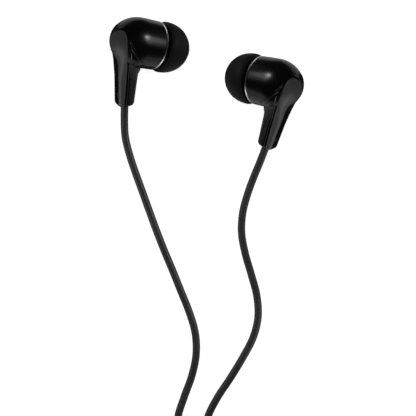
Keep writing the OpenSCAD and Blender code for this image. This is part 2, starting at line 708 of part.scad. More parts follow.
coil_tube(left_coil_points, branch_d);  // left_coil
coil_tie(left_coil_at, 180, branch_coil_r, branch_pitch, branch_layer_turns, 2, branch_d);  // left_coil_tie
cord_tube(left_lead_route, branch_d, [0, -1, 0], [0, -1, 0]);  // left_lead
cord_tube(right_route, branch_d, laid_right(down_stem), [0, -1, 0]);  // right_cord
coil_tube(right_coil_points, branch_d);  // right_coil
coil_tie(right_coil_at, 0, branch_coil_r, branch_pitch, branch_layer_turns, 2, branch_d);  // right_coil_tie
cord_tube(right_lead_route, branch_d, [0, -1, 0], [0, -1, 0]);  // right_lead
splitter_half(false);  // splitter_top
splitter_half(true);  // splitter_bottom
color([0.3, 0.3, 0.32]) splitter_space(0);  // splitter_core
cord_tube(trunk_route, trunk_d, [0, -1, 0], [0, -1, 0]);  // trunk_cord
coil_tube(trunk_coil_points, trunk_d);  // trunk_coil
coil_tie(trunk_coil_at, 270, trunk_coil_r, trunk_pitch, trunk_layer_turns, 4, trunk_d);  // trunk_coil_tie
cord_tube(trunk_lead_route, trunk_d, [-1, 0, 0], [0, -1, 0]);  // trunk_lead
plug_grip();
color([0.85, 0.68, 0.35]) band(0, band_ends[0]);  // plug_sleeve
plug_insulators();
color([0.85, 0.68, 0.35]) band(band_ends[1], band_ends[2]);  // plug_ring
plug_tip();
plug_core();
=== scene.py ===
"""Wired in-ear earphones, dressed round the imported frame.

Lengths in the code are in millimetres, and become metres when a piece is made.
"""
import json
import math

import bpy
import numpy as np
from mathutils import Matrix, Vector

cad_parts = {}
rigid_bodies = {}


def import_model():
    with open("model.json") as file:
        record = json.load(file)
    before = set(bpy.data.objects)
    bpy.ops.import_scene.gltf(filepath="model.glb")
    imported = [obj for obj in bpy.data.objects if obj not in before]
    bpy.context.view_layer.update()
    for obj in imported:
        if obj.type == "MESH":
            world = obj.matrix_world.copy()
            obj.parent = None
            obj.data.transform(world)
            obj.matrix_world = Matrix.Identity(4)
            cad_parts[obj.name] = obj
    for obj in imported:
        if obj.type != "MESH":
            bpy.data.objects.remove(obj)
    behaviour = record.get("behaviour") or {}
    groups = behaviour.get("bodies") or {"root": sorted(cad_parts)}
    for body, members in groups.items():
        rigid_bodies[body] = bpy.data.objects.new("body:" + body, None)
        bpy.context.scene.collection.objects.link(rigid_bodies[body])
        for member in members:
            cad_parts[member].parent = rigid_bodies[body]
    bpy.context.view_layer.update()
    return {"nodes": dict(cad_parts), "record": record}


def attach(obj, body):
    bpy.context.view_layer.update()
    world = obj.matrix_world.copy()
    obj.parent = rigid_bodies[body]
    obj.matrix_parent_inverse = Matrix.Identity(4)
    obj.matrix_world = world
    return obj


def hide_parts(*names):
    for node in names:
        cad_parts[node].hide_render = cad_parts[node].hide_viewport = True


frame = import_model()

bl_info = {
    "name": "Wired earphones",
    "version": (1, 0, 0),
    "blender": (4, 5, 0),
    "location": "View3D > Sidebar > Earphones",
    "description": "Builds the surfaces, cords and finishes of a pair of wired earphones",
    "category": "Object",
}

MM = 0.001
MERGE = 1e-4
SIDES = ("left", "right")
BODY = "cord_set"

# How each earphone lies: the nozzle points down, and the stem comes down to the surface
NOZZLE_TILT, NOZZLE_YAW, ROLL, TURN_RIGHT = 35, -7.3, -66.1, -21.5
RING_AT = {"left": (-12.7, 9.55), "right": (12.7, 1.1)}
REST_H = 7.7164

# The cord set: listed routes, then coils, then short leads, as the solids have them
BRANCH_D, TRUNK_D = 1.9, 2.2
TURN_GAP, TIE_T, TIE_W, FIT = 0.5, 0.3, 2.5, 0.05
COIL_LIFT = TIE_T + FIT
# Each coil: its middle, outer radius, pitch, turns in a layer, layers and its cord's thickness
COILS = {"left": ((-15, -102), 12, BRANCH_D + TURN_GAP, 2, 2, BRANCH_D),
         "right": ((14, -102), 12, BRANCH_D + TURN_GAP, 2, 2, BRANCH_D),
         "trunk": ((10.5, -150), 15, TRUNK_D + TURN_GAP, 2.4375, 4, TRUNK_D)}
SPLITTER_AT, SPLITTER_LEN, SPLITTER_W, SPLITTER_T = (-0.5, -119), 12, 6.6, 4.4
ENTRY_GAP = 1.65
PLUG_AT, GRIP_R, RELIEF_LEN, GRIP_LEN = (-18.5, -145), 3, 7, 12
# Points to a turn of a coil, distances between a cord's rings, and how far inside the stem a cord starts
LOOP_RINGS, BRANCH_STEP, TRUNK_STEP, CORD_INSIDE = 24, 0.7, 0.8, 0.8

# The housing about the nozzle's axis, and the stem's own frame
HOUSING_R, MOUTH_DROP, BELLY_BACK, TAIL_LEN = 6.08, 0.12, 5, 7.12
STEM_ANGLE, STEM_BACK, STEM_LEN = 67, 9.35, 17.6
LEAN = math.radians(90 - STEM_ANGLE)


def spin(axis, degrees):
    """The matrix that turns a point by an angle about axis 0, 1 or 2."""
    a, b = (axis + 1) % 3, (axis + 2) % 3
    c, s = math.cos(math.radians(degrees)), math.sin(math.radians(degrees))
    turned = np.eye(3)
    turned[a, a] = turned[b, b] = c
    turned[a, b], turned[b, a] = -s, s
    return turned


LAY = spin(2, NOZZLE_YAW) @ spin(1, NOZZLE_TILT) @ spin(0, ROLL)


def lay_vectors(vectors, side):
    """Directions in an earphone's own frame, turned as it lies; the right one is a mirror image."""
    turned = np.asarray(vectors, float) @ LAY.T
    if side == "right":
        turned = (turned * (-1, 1, 1)) @ spin(2, TURN_RIGHT).T
    return turned


def lay_points(points, side):
    """Points in an earphone's own frame, in millimetres, placed as it lies."""
    return lay_vectors(points, side) + (*RING_AT[side], REST_H)


def from_stem(u, v, w):
    """Points of the stem's frame (u forward, v sideways, w down from the crossing) in the nozzle's frame."""
    c, s = math.cos(LEAN), math.sin(LEAN)
    return np.stack(np.broadcast_arrays(-STEM_BACK + u * c + w * s, v, u * s - w * c), axis=-1)


DOWN_STEM = np.array((math.sin(LEAN), 0, -math.cos(LEAN)))


# ---------------------------------------------------------------- shapes

def quads_of(grid, wrap_rows, wrap_columns=True):
    """Rows of the four point numbers between neighbouring points of a grid, or of many grids side by side."""
    ids = np.arange(grid[..., 0].size).reshape(grid.shape[:-1])
    ids = np.concatenate([ids, ids[:1]]) if wrap_rows else ids
    ids = np.concatenate([ids, ids[:, :1]], axis=1) if wrap_columns else ids
    return np.stack([ids[:-1, :-1], ids[1:, :-1], ids[1:, 1:], ids[:-1, 1:]], axis=-1).reshape(-1, 4)


def make_piece(name, grid, wrap_rows=False, wrap_columns=True, sharp=40, lay=None):
    """A mesh of the quads between neighbouring points of a grid. lay holds a place in the cord for each."""
    return mesh_of(name, grid.reshape(-1, 3), quads_of(grid, wrap_rows, wrap_columns), sharp,
                   None if lay is None else lay.reshape(-1, 3))


def make_rings(name, grids):
    """One mesh of several grids that close round both ways."""
    starts = np.cumsum([0] + [grid[..., 0].size for grid in grids])
    return mesh_of(name, np.concatenate([grid.reshape(-1, 3) for grid in grids]),
                   np.concatenate([quads_of(grid, True) + start for grid, start in zip(grids, starts)]))


def mesh_of(name, points, quads, sharp=40, lay=None):
    """A smooth-shaded mesh object from points in millimetres and rows of four point numbers. Points that
    coincide become one, and the faces are turned to point outwards by the sign of the volume they enclose."""
    _, first, merged = np.unique(np.round(points / MERGE), axis=0, return_index=True, return_inverse=True)
    points, quads = points[first], merged.reshape(-1)[quads]
    a, b, c, d = (points[quads[:, k]] for k in range(4))
    volume = np.sum(a * (np.cross(b, c) + np.cross(c, d)))
    quads = quads[:, ::-1] if volume < 0 else quads
    used = quads != np.roll(quads, 1, axis=1)
    counts = used.sum(axis=1)
    good = counts >= 3
    corners, counts = quads[used & good[:, None]], counts[good]
    mesh = bpy.data.meshes.new(name)
    mesh.vertices.add(len(points))
    mesh.vertices.foreach_set("co", (points * MM).astype(np.float32).ravel())
    mesh.loops.add(len(corners))
    mesh.loops.foreach_set("vertex_index", corners.astype(np.int32))
    mesh.polygons.add(len(counts))
    mesh.polygons.foreach_set("loop_start", np.concatenate([[0], np.cumsum(counts)[:-1]]).astype(np.int32))
    mesh.polygons.foreach_set("use_smooth", np.ones(len(counts), bool))
    mesh.update(calc_edges=True)
    mesh.validate()
    mesh.set_sharp_from_angle(angle=math.radians(sharp))
    if lay is not None:
        along = mesh.attributes.new("lay", "FLOAT_VECTOR", "POINT")
        along.data.foreach_set("vector", lay[first].astype(np.float32).ravel())
    piece = bpy.data.objects.new(name, mesh)
    bpy.context.scene.collection.objects.link(piece)
    return piece


def rounded(corners, radius, closed=True, steps=5):
    """A profile whose corners are cut by the quadratic curve between the points at radius before and after
    each corner, or at 0.45 of a shorter side."""
    p = np.asarray(corners, float)
    before, after = np.roll(p, 1, axis=0) - p, np.roll(p, -1, axis=0) - p
    long_before, long_after = (np.linalg.norm(q, axis=1, keepdims=True) for q in (before, after))
    cut = np.minimum(radius, 0.45 * np.minimum(long_before, long_after))
    start, end = p + before / long_before * cut, p + after / long_after * cut
    s = np.linspace(0, 1, steps)[None, :, None]
    curve = (1 - s) ** 2 * start[:, None] + 2 * s * (1 - s) * p[:, None] + s ** 2 * end[:, None]
    if not closed:
        first, last = (np.repeat(q[:, None], steps, axis=1) for q in (p[:1], p[-1:]))
        curve = np.concatenate([first, curve[1:-1], last])
    return curve.reshape(-1, 2)


def closed_start(grid):
    """The grid with its first row closed to its middle. Its last row stays open."""
    middle = grid[:1].mean(axis=1, keepdims=True)
    return np.concatenate([np.repeat(middle, grid.shape[1], axis=1), grid])


def closed_ends(grid):
    """The grid with its first and last rows closed to their middles."""
    return closed_start(closed_start(grid)[::-1])[::-1]


def revolved(profile, sides):
    """A grid for a profile of (distance along the axis, radius), turned about the axis."""
    a = np.arange(sides) / sides * 2 * math.pi
    x, r = profile[:, :1], profile[:, 1:]
    return np.stack(np.broadcast_arrays(x, r * np.cos(a), r * np.sin(a)), axis=-1)


def unit(vectors):
    """Vectors of length one."""
    return vectors / np.linalg.norm(vectors, axis=-1, keepdims=True)


# ---------------------------------------------------------------- cords

def run_along(points):
    """Distance along a line of points, at each of them."""
    return np.concatenate([[0], np.cumsum(np.linalg.norm(np.diff(points, axis=0), axis=1))])


def smooth_path(points, spacing):
    """A centripetal Catmull-Rom curve through the points, resampled at even distances."""
    p = np.asarray(points, float)
    p = np.concatenate([[2 * p[0] - p[1]], p, [2 * p[-1] - p[-2]]])
    a, b, c, d = p[:-3], p[1:-2], p[2:-1], p[3:]
    t1, t2, t3 = (np.sqrt(np.linalg.norm(q, axis=1))[:, None, None] for q in (b - a, c - b, d - c))
    t2, t3 = t1 + t2, t1 + t2 + t3
    t = t1 + (t2 - t1) * np.linspace(0, 1, 12, endpoint=False)[None, :, None]
    a, b, c, d = (q[:, None] for q in (a, b, c, d))

    def between(lower, upper, from_t, to_t):
        return ((to_t - t) * lower + (t - from_t) * upper) / (to_t - from_t)

    ab, bc, cd = between(a, b, 0, t1), between(b, c, t1, t2), between(c, d, t2, t3)
    curve = between(between(ab, bc, 0, t2), between(bc, cd, t1, t3), t1, t2).reshape(-1, 3)
    curve = np.concatenate([curve, p[-2:-1]])
    run = run_along(curve)
    at = np.linspace(0, run[-1], int(run[-1] / spacing) + 1)
    return np.stack([np.interp(at, run, curve[:, k]) for k in range(3)], axis=-1)


def tube_grid(path, diameter, sides=20):
    """A round tube: each ring is the path's point plus the radius times the cosine and sine of an angle along
    the two directions square to the path, the first of them level. The end rings close to a point."""
    ahead = unit(np.gradient(path, axis=0))
    level = unit(np.cross(ahead, (0, 0, 1)))
    upright = np.cross(level, ahead)
    a = (np.arange(sides) + 0.5) / sides * 2 * math.pi
    out = np.cos(a)[:, None] * level[:, None] + np.sin(a)[:, None] * upright[:, None]
    marks = np.stack(np.broadcast_arrays(np.cos(a), np.sin(a), run_along(path)[:, None] * MM), axis=-1)
    return closed_ends(path[:, None] + diameter / 2 * out), np.concatenate([marks[:1], marks, marks[-1:]])


def coil_path(coil, start, way):
    """A coil's middle: its radius goes in by a pitch each turn and out again in the next layer, and it climbs
    a pitch over half a turn about each place where it turns back. Each end is straight for a diameter."""
    at, outer, pitch, per_layer, layers, diameter = coil
    count = round(per_layer * layers * LOOP_RINGS)
    turn = np.arange(count + 1) / LOOP_RINGS
    layer = np.floor(turn / per_layer)
    into = turn - layer * per_layer
    radius = outer - pitch * np.where(layer % 2 == 0, into, per_layer - into)
    climb = sum(np.clip(2 * (turn - k * per_layer) + 0.5, 0, 1) for k in range(1, layers)) * pitch
    a = math.radians(start) + way * 2 * math.pi * turn
    middle = np.stack([at[0] + radius * np.cos(a), at[1] + radius * np.sin(a),
                       diameter / 2 + COIL_LIFT + climb], axis=-1)
    ahead = way * diameter * np.array([[-math.sin(a[k]), math.cos(a[k]), 0] for k in (0, -1)])
    return np.concatenate([middle[:1] - ahead[:1], middle, middle[-1:] + ahead[1:]])


# The branches' routes along the surface, with heights in times half their thickness
ROUTES = {
    "left": ((-20.5, -8.6, 1.5), (-20.3, -12.5, 1), (-19.3, -16.7, 1), (-17.9, -21, 1), (-16.2, -25.7, 1),
             (-14.4, -30.7, 1), (-12.5, -35.9, 1), (-10.5, -41, 1), (-8.4, -46, 1), (-6.4, -51, 1),
             (-4.4, -56, 1), (-2.9, -61.3, 1), (-2.7, -66.7, 1), (-3.8, -72, 1), (-5.6, -77, 1),
             (-7.2, -82.2, 1), (-7, -87.2, 1), (-5.2, -91.9, 1.1), (-3.6, -96.6, 1.2)),
    "right": ((13.1, -18.9, 1.5), (11.5, -22.8, 1), (10, -27, 1), (8.9, -31.3, 1), (8.6, -36.2, 1),
              (9.5, -41.4, 1), (11, -46.6, 1), (12.4, -52, 1), (12.7, -57.3, 1), (11.5, -62.3, 1),
              (9.1, -67, 1), (5.9, -72.3, 1), (2.6, -77.3, 1), (0.2, -82.2, 1), (-0.6, -87.4, 1),
              (0.2, -92.4, 1.1), (1.5, -96.8, 1.2))}
# From a branch's coil into the splitter: distance from the splitter's middle line, then y and z
BRANCH_LEAD = ((2.4, -108.3, 3.5), (2.1, -112.5, 2.7), (1.8, -116, 2.3),
               (ENTRY_GAP, SPLITTER_AT[1], SPLITTER_T / 2))
TRUNK_START = ((SPLITTER_AT[0], SPLITTER_AT[1] - SPLITTER_LEN, SPLITTER_T / 2),
               (-0.9, -135, 2), (-2.3, -139.5, 1.6), (-3.8, -143.8, 1.5))
TRUNK_END = ((3.5, -135, 9.3), (-1.5, -135, 8), (-6.2, -135, 6), (-10.8, -135.5, 4.3),
             (-14.8, -136.9, 3.4), (-17.5, -139.5, 3), (-18.4, -142.6, 3), (*PLUG_AT, GRIP_R))


def stem_exit(side):
    """Where the cord leaves the stem."""
    return lay_points(from_stem(0, 0, STEM_LEN), side)


def branch_path(side):
    """A branch's whole route: out of the stem, along the surface, round its coil and into the splitter."""
    out = stem_exit(side)
    inside = out - CORD_INSIDE * lay_vectors(DOWN_STEM, side)
    start, way = (0, -1) if side == "left" else (180, 1)
    lead = np.array(BRANCH_LEAD) * (way, 1, 1) + (SPLITTER_AT[0], 0, 0)
    return np.concatenate([[inside, out], np.array(ROUTES[side]) * (1, 1, BRANCH_D / 2),
                           coil_path(COILS[side], start, way), lead])


def trunk_path():
    """The trunk's whole route: from the splitter, round its coil and into the plug's relief."""
    return np.concatenate([TRUNK_START, coil_path(COILS["trunk"], 180, 1), TRUNK_END])


# ---------------------------------------------------------------- finishes

PER_METRE = 1000
WORN = (0.2, 0.2, 0.2)


class Value:
    """A number or colour that changes over a surface. Arithmetic on it adds Math nodes to its material."""

    def __init__(self, finish, socket):
        self.finish, self.socket = finish, socket

    def _math(self, operation, first, second):
        return self.finish.node("ShaderNodeMath", {"operation": operation}, {0: first, 1: second})

    def __add__(self, other):
        return self._math("ADD", self, other)

    def __sub__(self, other):
        return self._math("SUBTRACT", self, other)

    def __rsub__(self, other):
        return self._math("SUBTRACT", other, self)

    def __mul__(self, other):
        return self._math("MULTIPLY", self, other)

    def __truediv__(self, other):
        return self._math("DIVIDE", self, other)

    __radd__, __rmul__ = __add__, __mul__


class Finish:
    """A material in the making. What stays the same is set on the shader's own sockets."""

    def __init__(self, name, colour, roughness, **steady):
        self.material = bpy.data.materials.new(name)
        self.material.use_nodes = True
        self.material.diffuse_color = self.colour = (*colour, 1)
        self.tree = self.material.node_tree
        self.shader = next(n for n in self.tree.nodes if n.type == "BSDF_PRINCIPLED")
        self.set({"Base Color": self.colour, "Roughness": roughness, **steady})
        self.place = self.node("ShaderNodeTexCoord", output="Object")

    def node(self, kind, settings=None, sockets=None, output=0):
        """Adds a node: its settings or ramp stops first, then its sockets' values or links."""
        made = self.tree.nodes.new(kind)
        for name, value in (settings or {}).items():
            if name == "stops":
                while len(made.color_ramp.elements) < len(value):
                    made.color_ramp.elements.new(0.5)
                for stop, (position, level) in zip(made.color_ramp.elements, value):
                    stop.position, stop.color = position, (level, level, level, 1)
            else:
                setattr(made, name, value)
        for name, value in (sockets or {}).items():
            self._feed(made.inputs[name], value)
        return Value(self, made.outputs[output])

    def _feed(self, socket, value):
        if isinstance(value, Value):
            self.tree.links.new(value.socket, socket)
        else:
            socket.default_value = value

    def set(self, sockets):
        """Sets or links the shader's sockets, and gives the material."""
        for name, value in sockets.items():
            self._feed(self.shader.inputs[name], value)
        return self.material

    def noise(self, size, detail=4, rough=0.5, place=None):
        """Noise from 0 to 1 whose blobs are size millimetres across."""
        return self.node("ShaderNodeTexNoise", None, {"Vector": place or self.place, "Scale": 1 / (size * MM),
                                                      "Detail": detail, "Roughness": rough}, "Fac")

    def grains(self, size):
        """Distance from the nearest of scattered points, size millimetres apart."""
        return self.node("ShaderNodeTexVoronoi", None, {"Vector": self.place, "Scale": 1 / (size * MM)},
                         "Distance")

    def sine(self, value):
        """The sine of a value."""
        return self.node("ShaderNodeMath", {"operation": "SINE"}, {0: value})

    def lay(self):
        """A cord's or strap's own coordinates, from the piece's lay attribute."""
        return self.node("ShaderNodeAttribute", {"attribute_name": "lay"}, output="Vector")

    def ramp(self, value, *stops):
        """A value read through a ramp of (position, level) stops."""
        return self.node("ShaderNodeValToRGB", {"stops": stops}, {0: value})

    def tinted(self, amount, other):
        """The finish's own colour, mixed towards another by an amount."""
        return self.node("ShaderNodeMix", {"data_type": "RGBA"},
                         {0: amount, 6: self.colour, 7: (*other, 1)}, 2)

    def bumps(self, height, strength, depth, under=None):
        """A normal from a height field that is depth millimetres deep, on top of another normal."""
        sockets = {"Height": height, "Strength": strength, "Distance": depth * MM}
        if under:
            sockets["Normal"] = under
        return self.node("ShaderNodeBump", None, sockets, "Normal")

    def axis_parts(self, axis_point, axis):
        """Distance along an axis and from it, in millimetres, from the object's coordinates."""
        offset = self.node("ShaderNodeVectorMath", {"operation": "SUBTRACT"},
                           {0: self.place, 1: [float(x) * MM for x in axis_point]}, "Vector")
        along = self.node("ShaderNodeVectorMath", {"operation": "DOT_PRODUCT"},
                          {0: offset, 1: [float(x) for x in axis]}, "Value")
        reach = self.node("ShaderNodeVectorMath", {"operation": "LENGTH"}, {0: offset}, "Value")
        from_axis = self.node("ShaderNodeMath", {"operation": "SQRT"},
                              {0: self.node("ShaderNodeMath", {"operation": "MAXIMUM"},
                                            {0: reach * reach - along * along, 1: 0.0})})
        return along * PER_METRE, from_axis * PER_METRE


def moulded(name, colour, roughness, spread, grain, depth, lighter):
    """Moulded plastic or rubber: a fine even grain, whose roughness and colour drift over larger patches."""
    f = Finish(name, colour, roughness)
    patches, fine = f.noise(2.6, 3), f.noise(grain, 2, 0.6)
    gloss = f.ramp(patches * 0.6 + fine * 0.4, (0.3, roughness - spread), (0.7, roughness + spread))
    return f.set({"Roughness": gloss,
                  "Base Color": f.tinted(f.ramp(patches, (0.35, 0), (0.75, 0.6)), lighter),
                  "Normal": f.bumps(fine, 0.35, depth)})


def glossy(name, colour, roughness, coat):
    """Polished plastic: a nearly mirror-smooth coat with hairline wipe marks and a few specks of dust."""
    f = Finish(name, colour, roughness, **{"Coat Weight": coat, "Coat Roughness": 0.08,
                                           "Specular IOR Level": 0.4})
    drift = f.noise(3.4, 3)
    wipe = f.node("ShaderNodeMapping", None,
                  {0: f.place, "Scale": (1.0, 6.0, 1.0), "Rotation": (0.4, 0.2, 0.7)})
    hair = f.noise(0.9, 6, 0.7, wipe)
    dust = f.ramp(f.grains(1.3), (0.012, 1), (0.03, 0))
    gloss = f.ramp(drift * 0.7 + hair * 0.3, (0.35, roughness - 0.01), (0.7, roughness + 0.02))
    return f.set({"Roughness": gloss,
                  "Base Color": f.tinted(dust * 0.2, (0.05, 0.05, 0.052)),
                  "Normal": f.bumps(hair, 0.01, 0.01)})


def metal(name, colour, roughness, axis_point=None, axis=None, pitch=0.06, depth=0.004, worn=WORN):
    """Turned or drawn metal: tool rings about an axis, or a fine grain, with duller smudges."""
    f = Finish(name, colour, roughness, **{"Metallic": 1.0})
    smudge = f.ramp(f.noise(1.6, 4), (0.45, 0), (0.75, 1))
    if axis is None:
        marks = f.noise(pitch * 2, 3, 0.7)
    else:
        along, out = f.axis_parts(axis_point, axis)
        marks = f.sine((along + out) * (2 * math.pi / pitch)) * 0.5 + f.noise(0.5, 3)
    return f.set({"Roughness": roughness + smudge * 0.12,
                  "Base Color": f.tinted(smudge * 0.35, worn),
                  "Normal": f.bumps(marks, 0.3, depth)})


def corded(name, colour):
    """Rubber cord: extrusion lines along it, faint rub marks every few millimetres, and dust in the grain."""
    f = Finish(name, colour, 0.46, **{"Specular IOR Level": 0.3})
    drawn = f.node("ShaderNodeMapping", None, {0: f.lay(), "Scale": (9.0, 9.0, 60.0)})
    lines = f.noise(1 / MM, 4, 0.6, drawn)
    rub = f.ramp(f.noise(5.5, 3), (0.4, 0), (0.7, 1))
    fine = f.noise(0.12, 2)
    dust = rub * 0.35 + f.ramp(lines, (0.55, 0), (0.8, 0.3))
    return f.set({"Roughness": f.ramp(lines * 0.5 + fine * 0.5, (0.3, 0.25), (0.7, 0.37)) + rub * 0.05,
                  "Base Color": f.tinted(dust, (0.04, 0.04, 0.0415)),
                  "Normal": f.bumps(lines, 0.25, 0.02, f.bumps(fine, 0.2, 0.006))})


def axis_in(side):
    """A point on an earphone's nozzle axis and the axis, as it lies."""
    return lay_points((0, 0, 0), side), lay_vectors((1, 0, 0), side)


def turned(name, colour, roughness, side, **more):
    """Metal turned about an earphone's nozzle axis."""
    return metal(name, colour, roughness, *axis_in(side), **more)


def silicone(name, colour):
    """Silicone: a soft matte skin that holds a little lint, with faint mould flow."""
    f = Finish(name, colour, 0.55, **{"Specular IOR Level": 0.12})
    flow, fine = f.noise(1.9, 4), f.noise(0.16, 3, 0.6)
    lint = f.ramp(f.grains(0.55), (0.02, 1), (0.06, 0)) * 0.3 + f.ramp(flow, (0.45, 0), (0.8, 0.35))
    return f.set({"Roughness": f.ramp(flow * 0.5 + fine * 0.5, (0.3, 0.46), (0.7, 0.6)),
                  "Base Color": f.tinted(lint, (0.012, 0.012, 0.0125)),
                  "Normal": f.bumps(fine, 0.3, 0.008)})


def film(name, colour, side):
    """Stamped film: fine radial flutes in the edge, a smooth dome, and a faint shimmer."""
    f = Finish(name, colour, 0.24, **{"Specular IOR Level": 0.6, "Coat Weight": 0.3})
    _, out = f.axis_parts(*axis_in(side))
    rings = f.sine(out * (2 * math.pi / 0.35))
    edge = f.ramp(out / 4, (0.6, 0), (0.68, 1))
    return f.set({"Roughness": 0.2 + f.noise(0.4, 3) * 0.12,
                  "Base Color": f.tinted(edge * 0.5, (0.5, 0.42, 0.2)),
                  "Normal": f.bumps(rings * edge, 0.5, 0.02)})


def circuit(name):
    """A green board: solder resist over copper traces, with bright solder round the pads."""
    f = Finish(name, (0.01, 0.09, 0.03), 0.35)
    pads = f.ramp(f.grains(0.8), (0.16, 1), (0.2, 0))
    waves = f.node("ShaderNodeTexWave", {"wave_type": "RINGS"},
                   {"Vector": f.place, "Scale": 900.0, "Distortion": 2.0}, "Fac")
    traces = f.ramp(waves, (0.55, 0), (0.6, 1))
    return f.set({"Base Color": f.tinted(pads * 0.9 + traces * 0.25, (0.55, 0.56, 0.55)),
                  "Metallic": pads * 0.9, "Roughness": 0.35 - pads * 0.1,
                  "Normal": f.bumps(traces + pads, 0.4, 0.02)})


def fibrous(name, colour, lighter, cell, hollow):
    """Foam or felt: open cells with walls between them, with painted shade that darkens the cells' hollows.
    """
    f = Finish(name, colour, 0.9)
    cells, fluff = f.grains(cell), f.noise(cell * 0.6, 4, 0.7)
    # Painted shade: the colour is darker in the cells' hollows, where the bumps sink, and lighter on the
    # walls between them.
    return f.set({"Base Color": f.tinted(f.ramp(cells, (0.1, 0), (0.6, 1)) * 0.6 + fluff * 0.2, lighter),
                  "Roughness": 0.82 + fluff * 0.12,
                  "Normal": f.bumps(cells + fluff * 0.3, 0.7, hollow)})


def lacquered(name, colour):
    """Enamelled copper: a clear lacquer over drawn wire, darker where it is thick."""
    f = Finish(name, colour, 0.25, **{"Metallic": 0.9, "Coat Weight": 0.6})
    drawn, thick = f.noise(0.1, 3, 0.7), f.ramp(f.noise(0.8, 3), (0.4, 0), (0.7, 1))
    return f.set({"Base Color": f.tinted(thick * 0.5, (0.25, 0.05, 0.01)), "Roughness": 0.2 + drawn * 0.15,
                  "Normal": f.bumps(drawn, 0.3, 0.006)})


def strap(name, colour):
    """A soft moulded strap: fine ribs across it, worn lighter on the ridges."""
    f = Finish(name, colour, 0.6)
    ribs = f.sine(f.node("ShaderNodeSeparateXYZ", None, {0: f.lay()}, "Y") * 50.0)
    fine = f.noise(0.15, 3)
    worn = f.ramp(ribs, (0.4, 0), (0.95, 0.4)) + fine * 0.15
    return f.set({"Base Color": f.tinted(worn, (0.05, 0.05, 0.052)),
                  "Roughness": 0.52 + fine * 0.16, "Normal": f.bumps(ribs + fine * 0.4, 0.4, 0.03)})


# ---------------------------------------------------------------- the earphone's forms

# How far the surfaces stand proud, the stem's section, its bottom's rounding, and where each half starts
PROUD = 0.08
STEM_DEPTH, STEM_WIDTH = 4.4, 4.3
CORNER_R = 0.75
BASE_TOP, COVER_TOP = -4.1, -3.9
# The keyhole face: middle and radius of its head, across and down the stem
HEAD_V, HEAD_W, HEAD_R = -1.8, -0.05, 3.3
# The collar's welt and groove, the gap along the face, and the fillet where forms meet
WELT_W, WELT_FROM, GROOVE_DEPTH, PARTING_DEPTH = 0.62, 0.95, 0.3, 0.55
FILLET = 0.6
# Outlines as places down the stem and distances there: the seam forward of the middle, the stem's front and
# back, the face's rear edge across, and the collar's edge forward
SEAM = np.polyfit((-5, -2, -0.65, 1, 3, 5, 9, 13, 15.8, 17.6),
                  (0.1, -0.2, -0.42, -0.55, -0.5, -0.38, -0.12, -0.4, -0.8, -1.0), 6)
STEM_FRONT = (0, 6.4, 7.8, 8.8, 9.5, 17.6), (4.1, 4.1, 3.98, 3.66, 3.38, 1.9)
STEM_REAR = (2, 6, 11, 17.6), (STEM_DEPTH / 2, 1.93, 2.0, 2.15)
FACE_EDGE = (HEAD_W, 1.2, 2.6, 4.2, 6), (HEAD_V + HEAD_R, 1.35, 0.45, -0.6, -0.72)
COLLAR_EDGE = ((-5, -2.6, -1.55, -0.2, 1.05, 2.75, 4.1, 5.0, 6.0, 6.6, 7.0, 7.6),
               (0.1, 0.08, 0.14, 0.42, 1.0, 1.84, 2.62, 3.24, 3.75, 4.05, 4.5, 5.5))


def rise(t):
    """Smooth step: 3 t squared less 2 t cubed, held at 0 and 1 outside."""
    t = np.clip(t, 0, 1)
    return t * t * (3 - 2 * t)


def bell(x, middle, width):
    """A bump of height 1: e to the power of minus ((x - middle) / width) squared."""
    return np.exp(-((x - middle) / width) ** 2)


def blend_max(a, b, soft):
    """The larger of two values, with a fillet of size soft where they are alike:
    b + (a - b) h + soft h (1 - h), where h goes from 0 to 1 as a passes b."""
    h = np.clip(0.5 + 0.5 * (a - b) / soft, 0, 1)
    return b + (a - b) * h + soft * h * (1 - h)


def blend_min(a, b, soft):
    """The smaller of two values, rounded over where they are alike."""
    return -blend_max(-a, -b, soft)


def housing_radius(x, grow=0.0):
    """Radius of the housing: a half ellipse behind its widest place, and a shallow parabola before it."""
    back = -x - BELLY_BACK
    rear = (HOUSING_R + grow) * np.sqrt(np.clip(1 - (back / (TAIL_LEN + grow)) ** 2, 0, None))
    return np.where(back > 0, rear, HOUSING_R + grow - MOUTH_DROP * (back / BELLY_BACK) ** 2)


def housing_reach(w, angle, grow):
    """How far a ray square to the stem's axis runs inside the housing grown by grow: the last of evenly
    spaced distances whose point is nearer to the nozzle's axis than the housing's radius, moved on to the
    surface."""
    w, angle, grow = (q[..., None] for q in np.broadcast_arrays(w, angle, grow))
    far = np.linspace(0, 9, 121)
    p = from_stem(far * np.cos(angle), far * np.sin(angle), w)
    gap = np.hypot(p[..., 1], p[..., 2]) - housing_radius(p[..., 0], grow)
    last = len(far) - 1 - np.argmax(gap[..., ::-1] < 0, axis=-1)
    here = np.take_along_axis(gap, last[..., None], -1)[..., 0]
    beyond = np.take_along_axis(gap, np.minimum(last + 1, len(far) - 1)[..., None], -1)[..., 0]
    reach = far[last] + np.clip(here / (here - beyond - 1e-9), 0, 1) * far[1]
    return np.where((gap < 0).any(axis=-1), reach, 0)


def superellipse(angle, deep, wide, power):
    """Distance from the middle to a superellipse of those half sizes, along an angle."""
    return (np.abs(np.cos(angle) / deep) ** power + np.abs(np.sin(angle) / wide) ** power) ** (-1 / power)


def stem_reach(w, angle):
    """Outline of the stem alone: a superellipse that spreads sideways and forward towards the housing, with a
    corner where the forward part ends, and rounded edges at the bottom."""
    spread = 1 - rise((w - 1.2) / 9.6)
    wide = STEM_WIDTH / 2 + 2.05 * spread
    deep = np.where(np.cos(angle) > 0, np.interp(w, *STEM_FRONT), np.interp(w, *STEM_REAR))
    bar = superellipse(angle, deep, wide, 3.3 - 1.1 * spread) * rise((w + 2.4) / 3.4)
    t = np.clip((w - STEM_LEN + CORNER_R) / CORNER_R, 0, 1)
    return bar - CORNER_R * (1 - np.sqrt(1 - t * t))


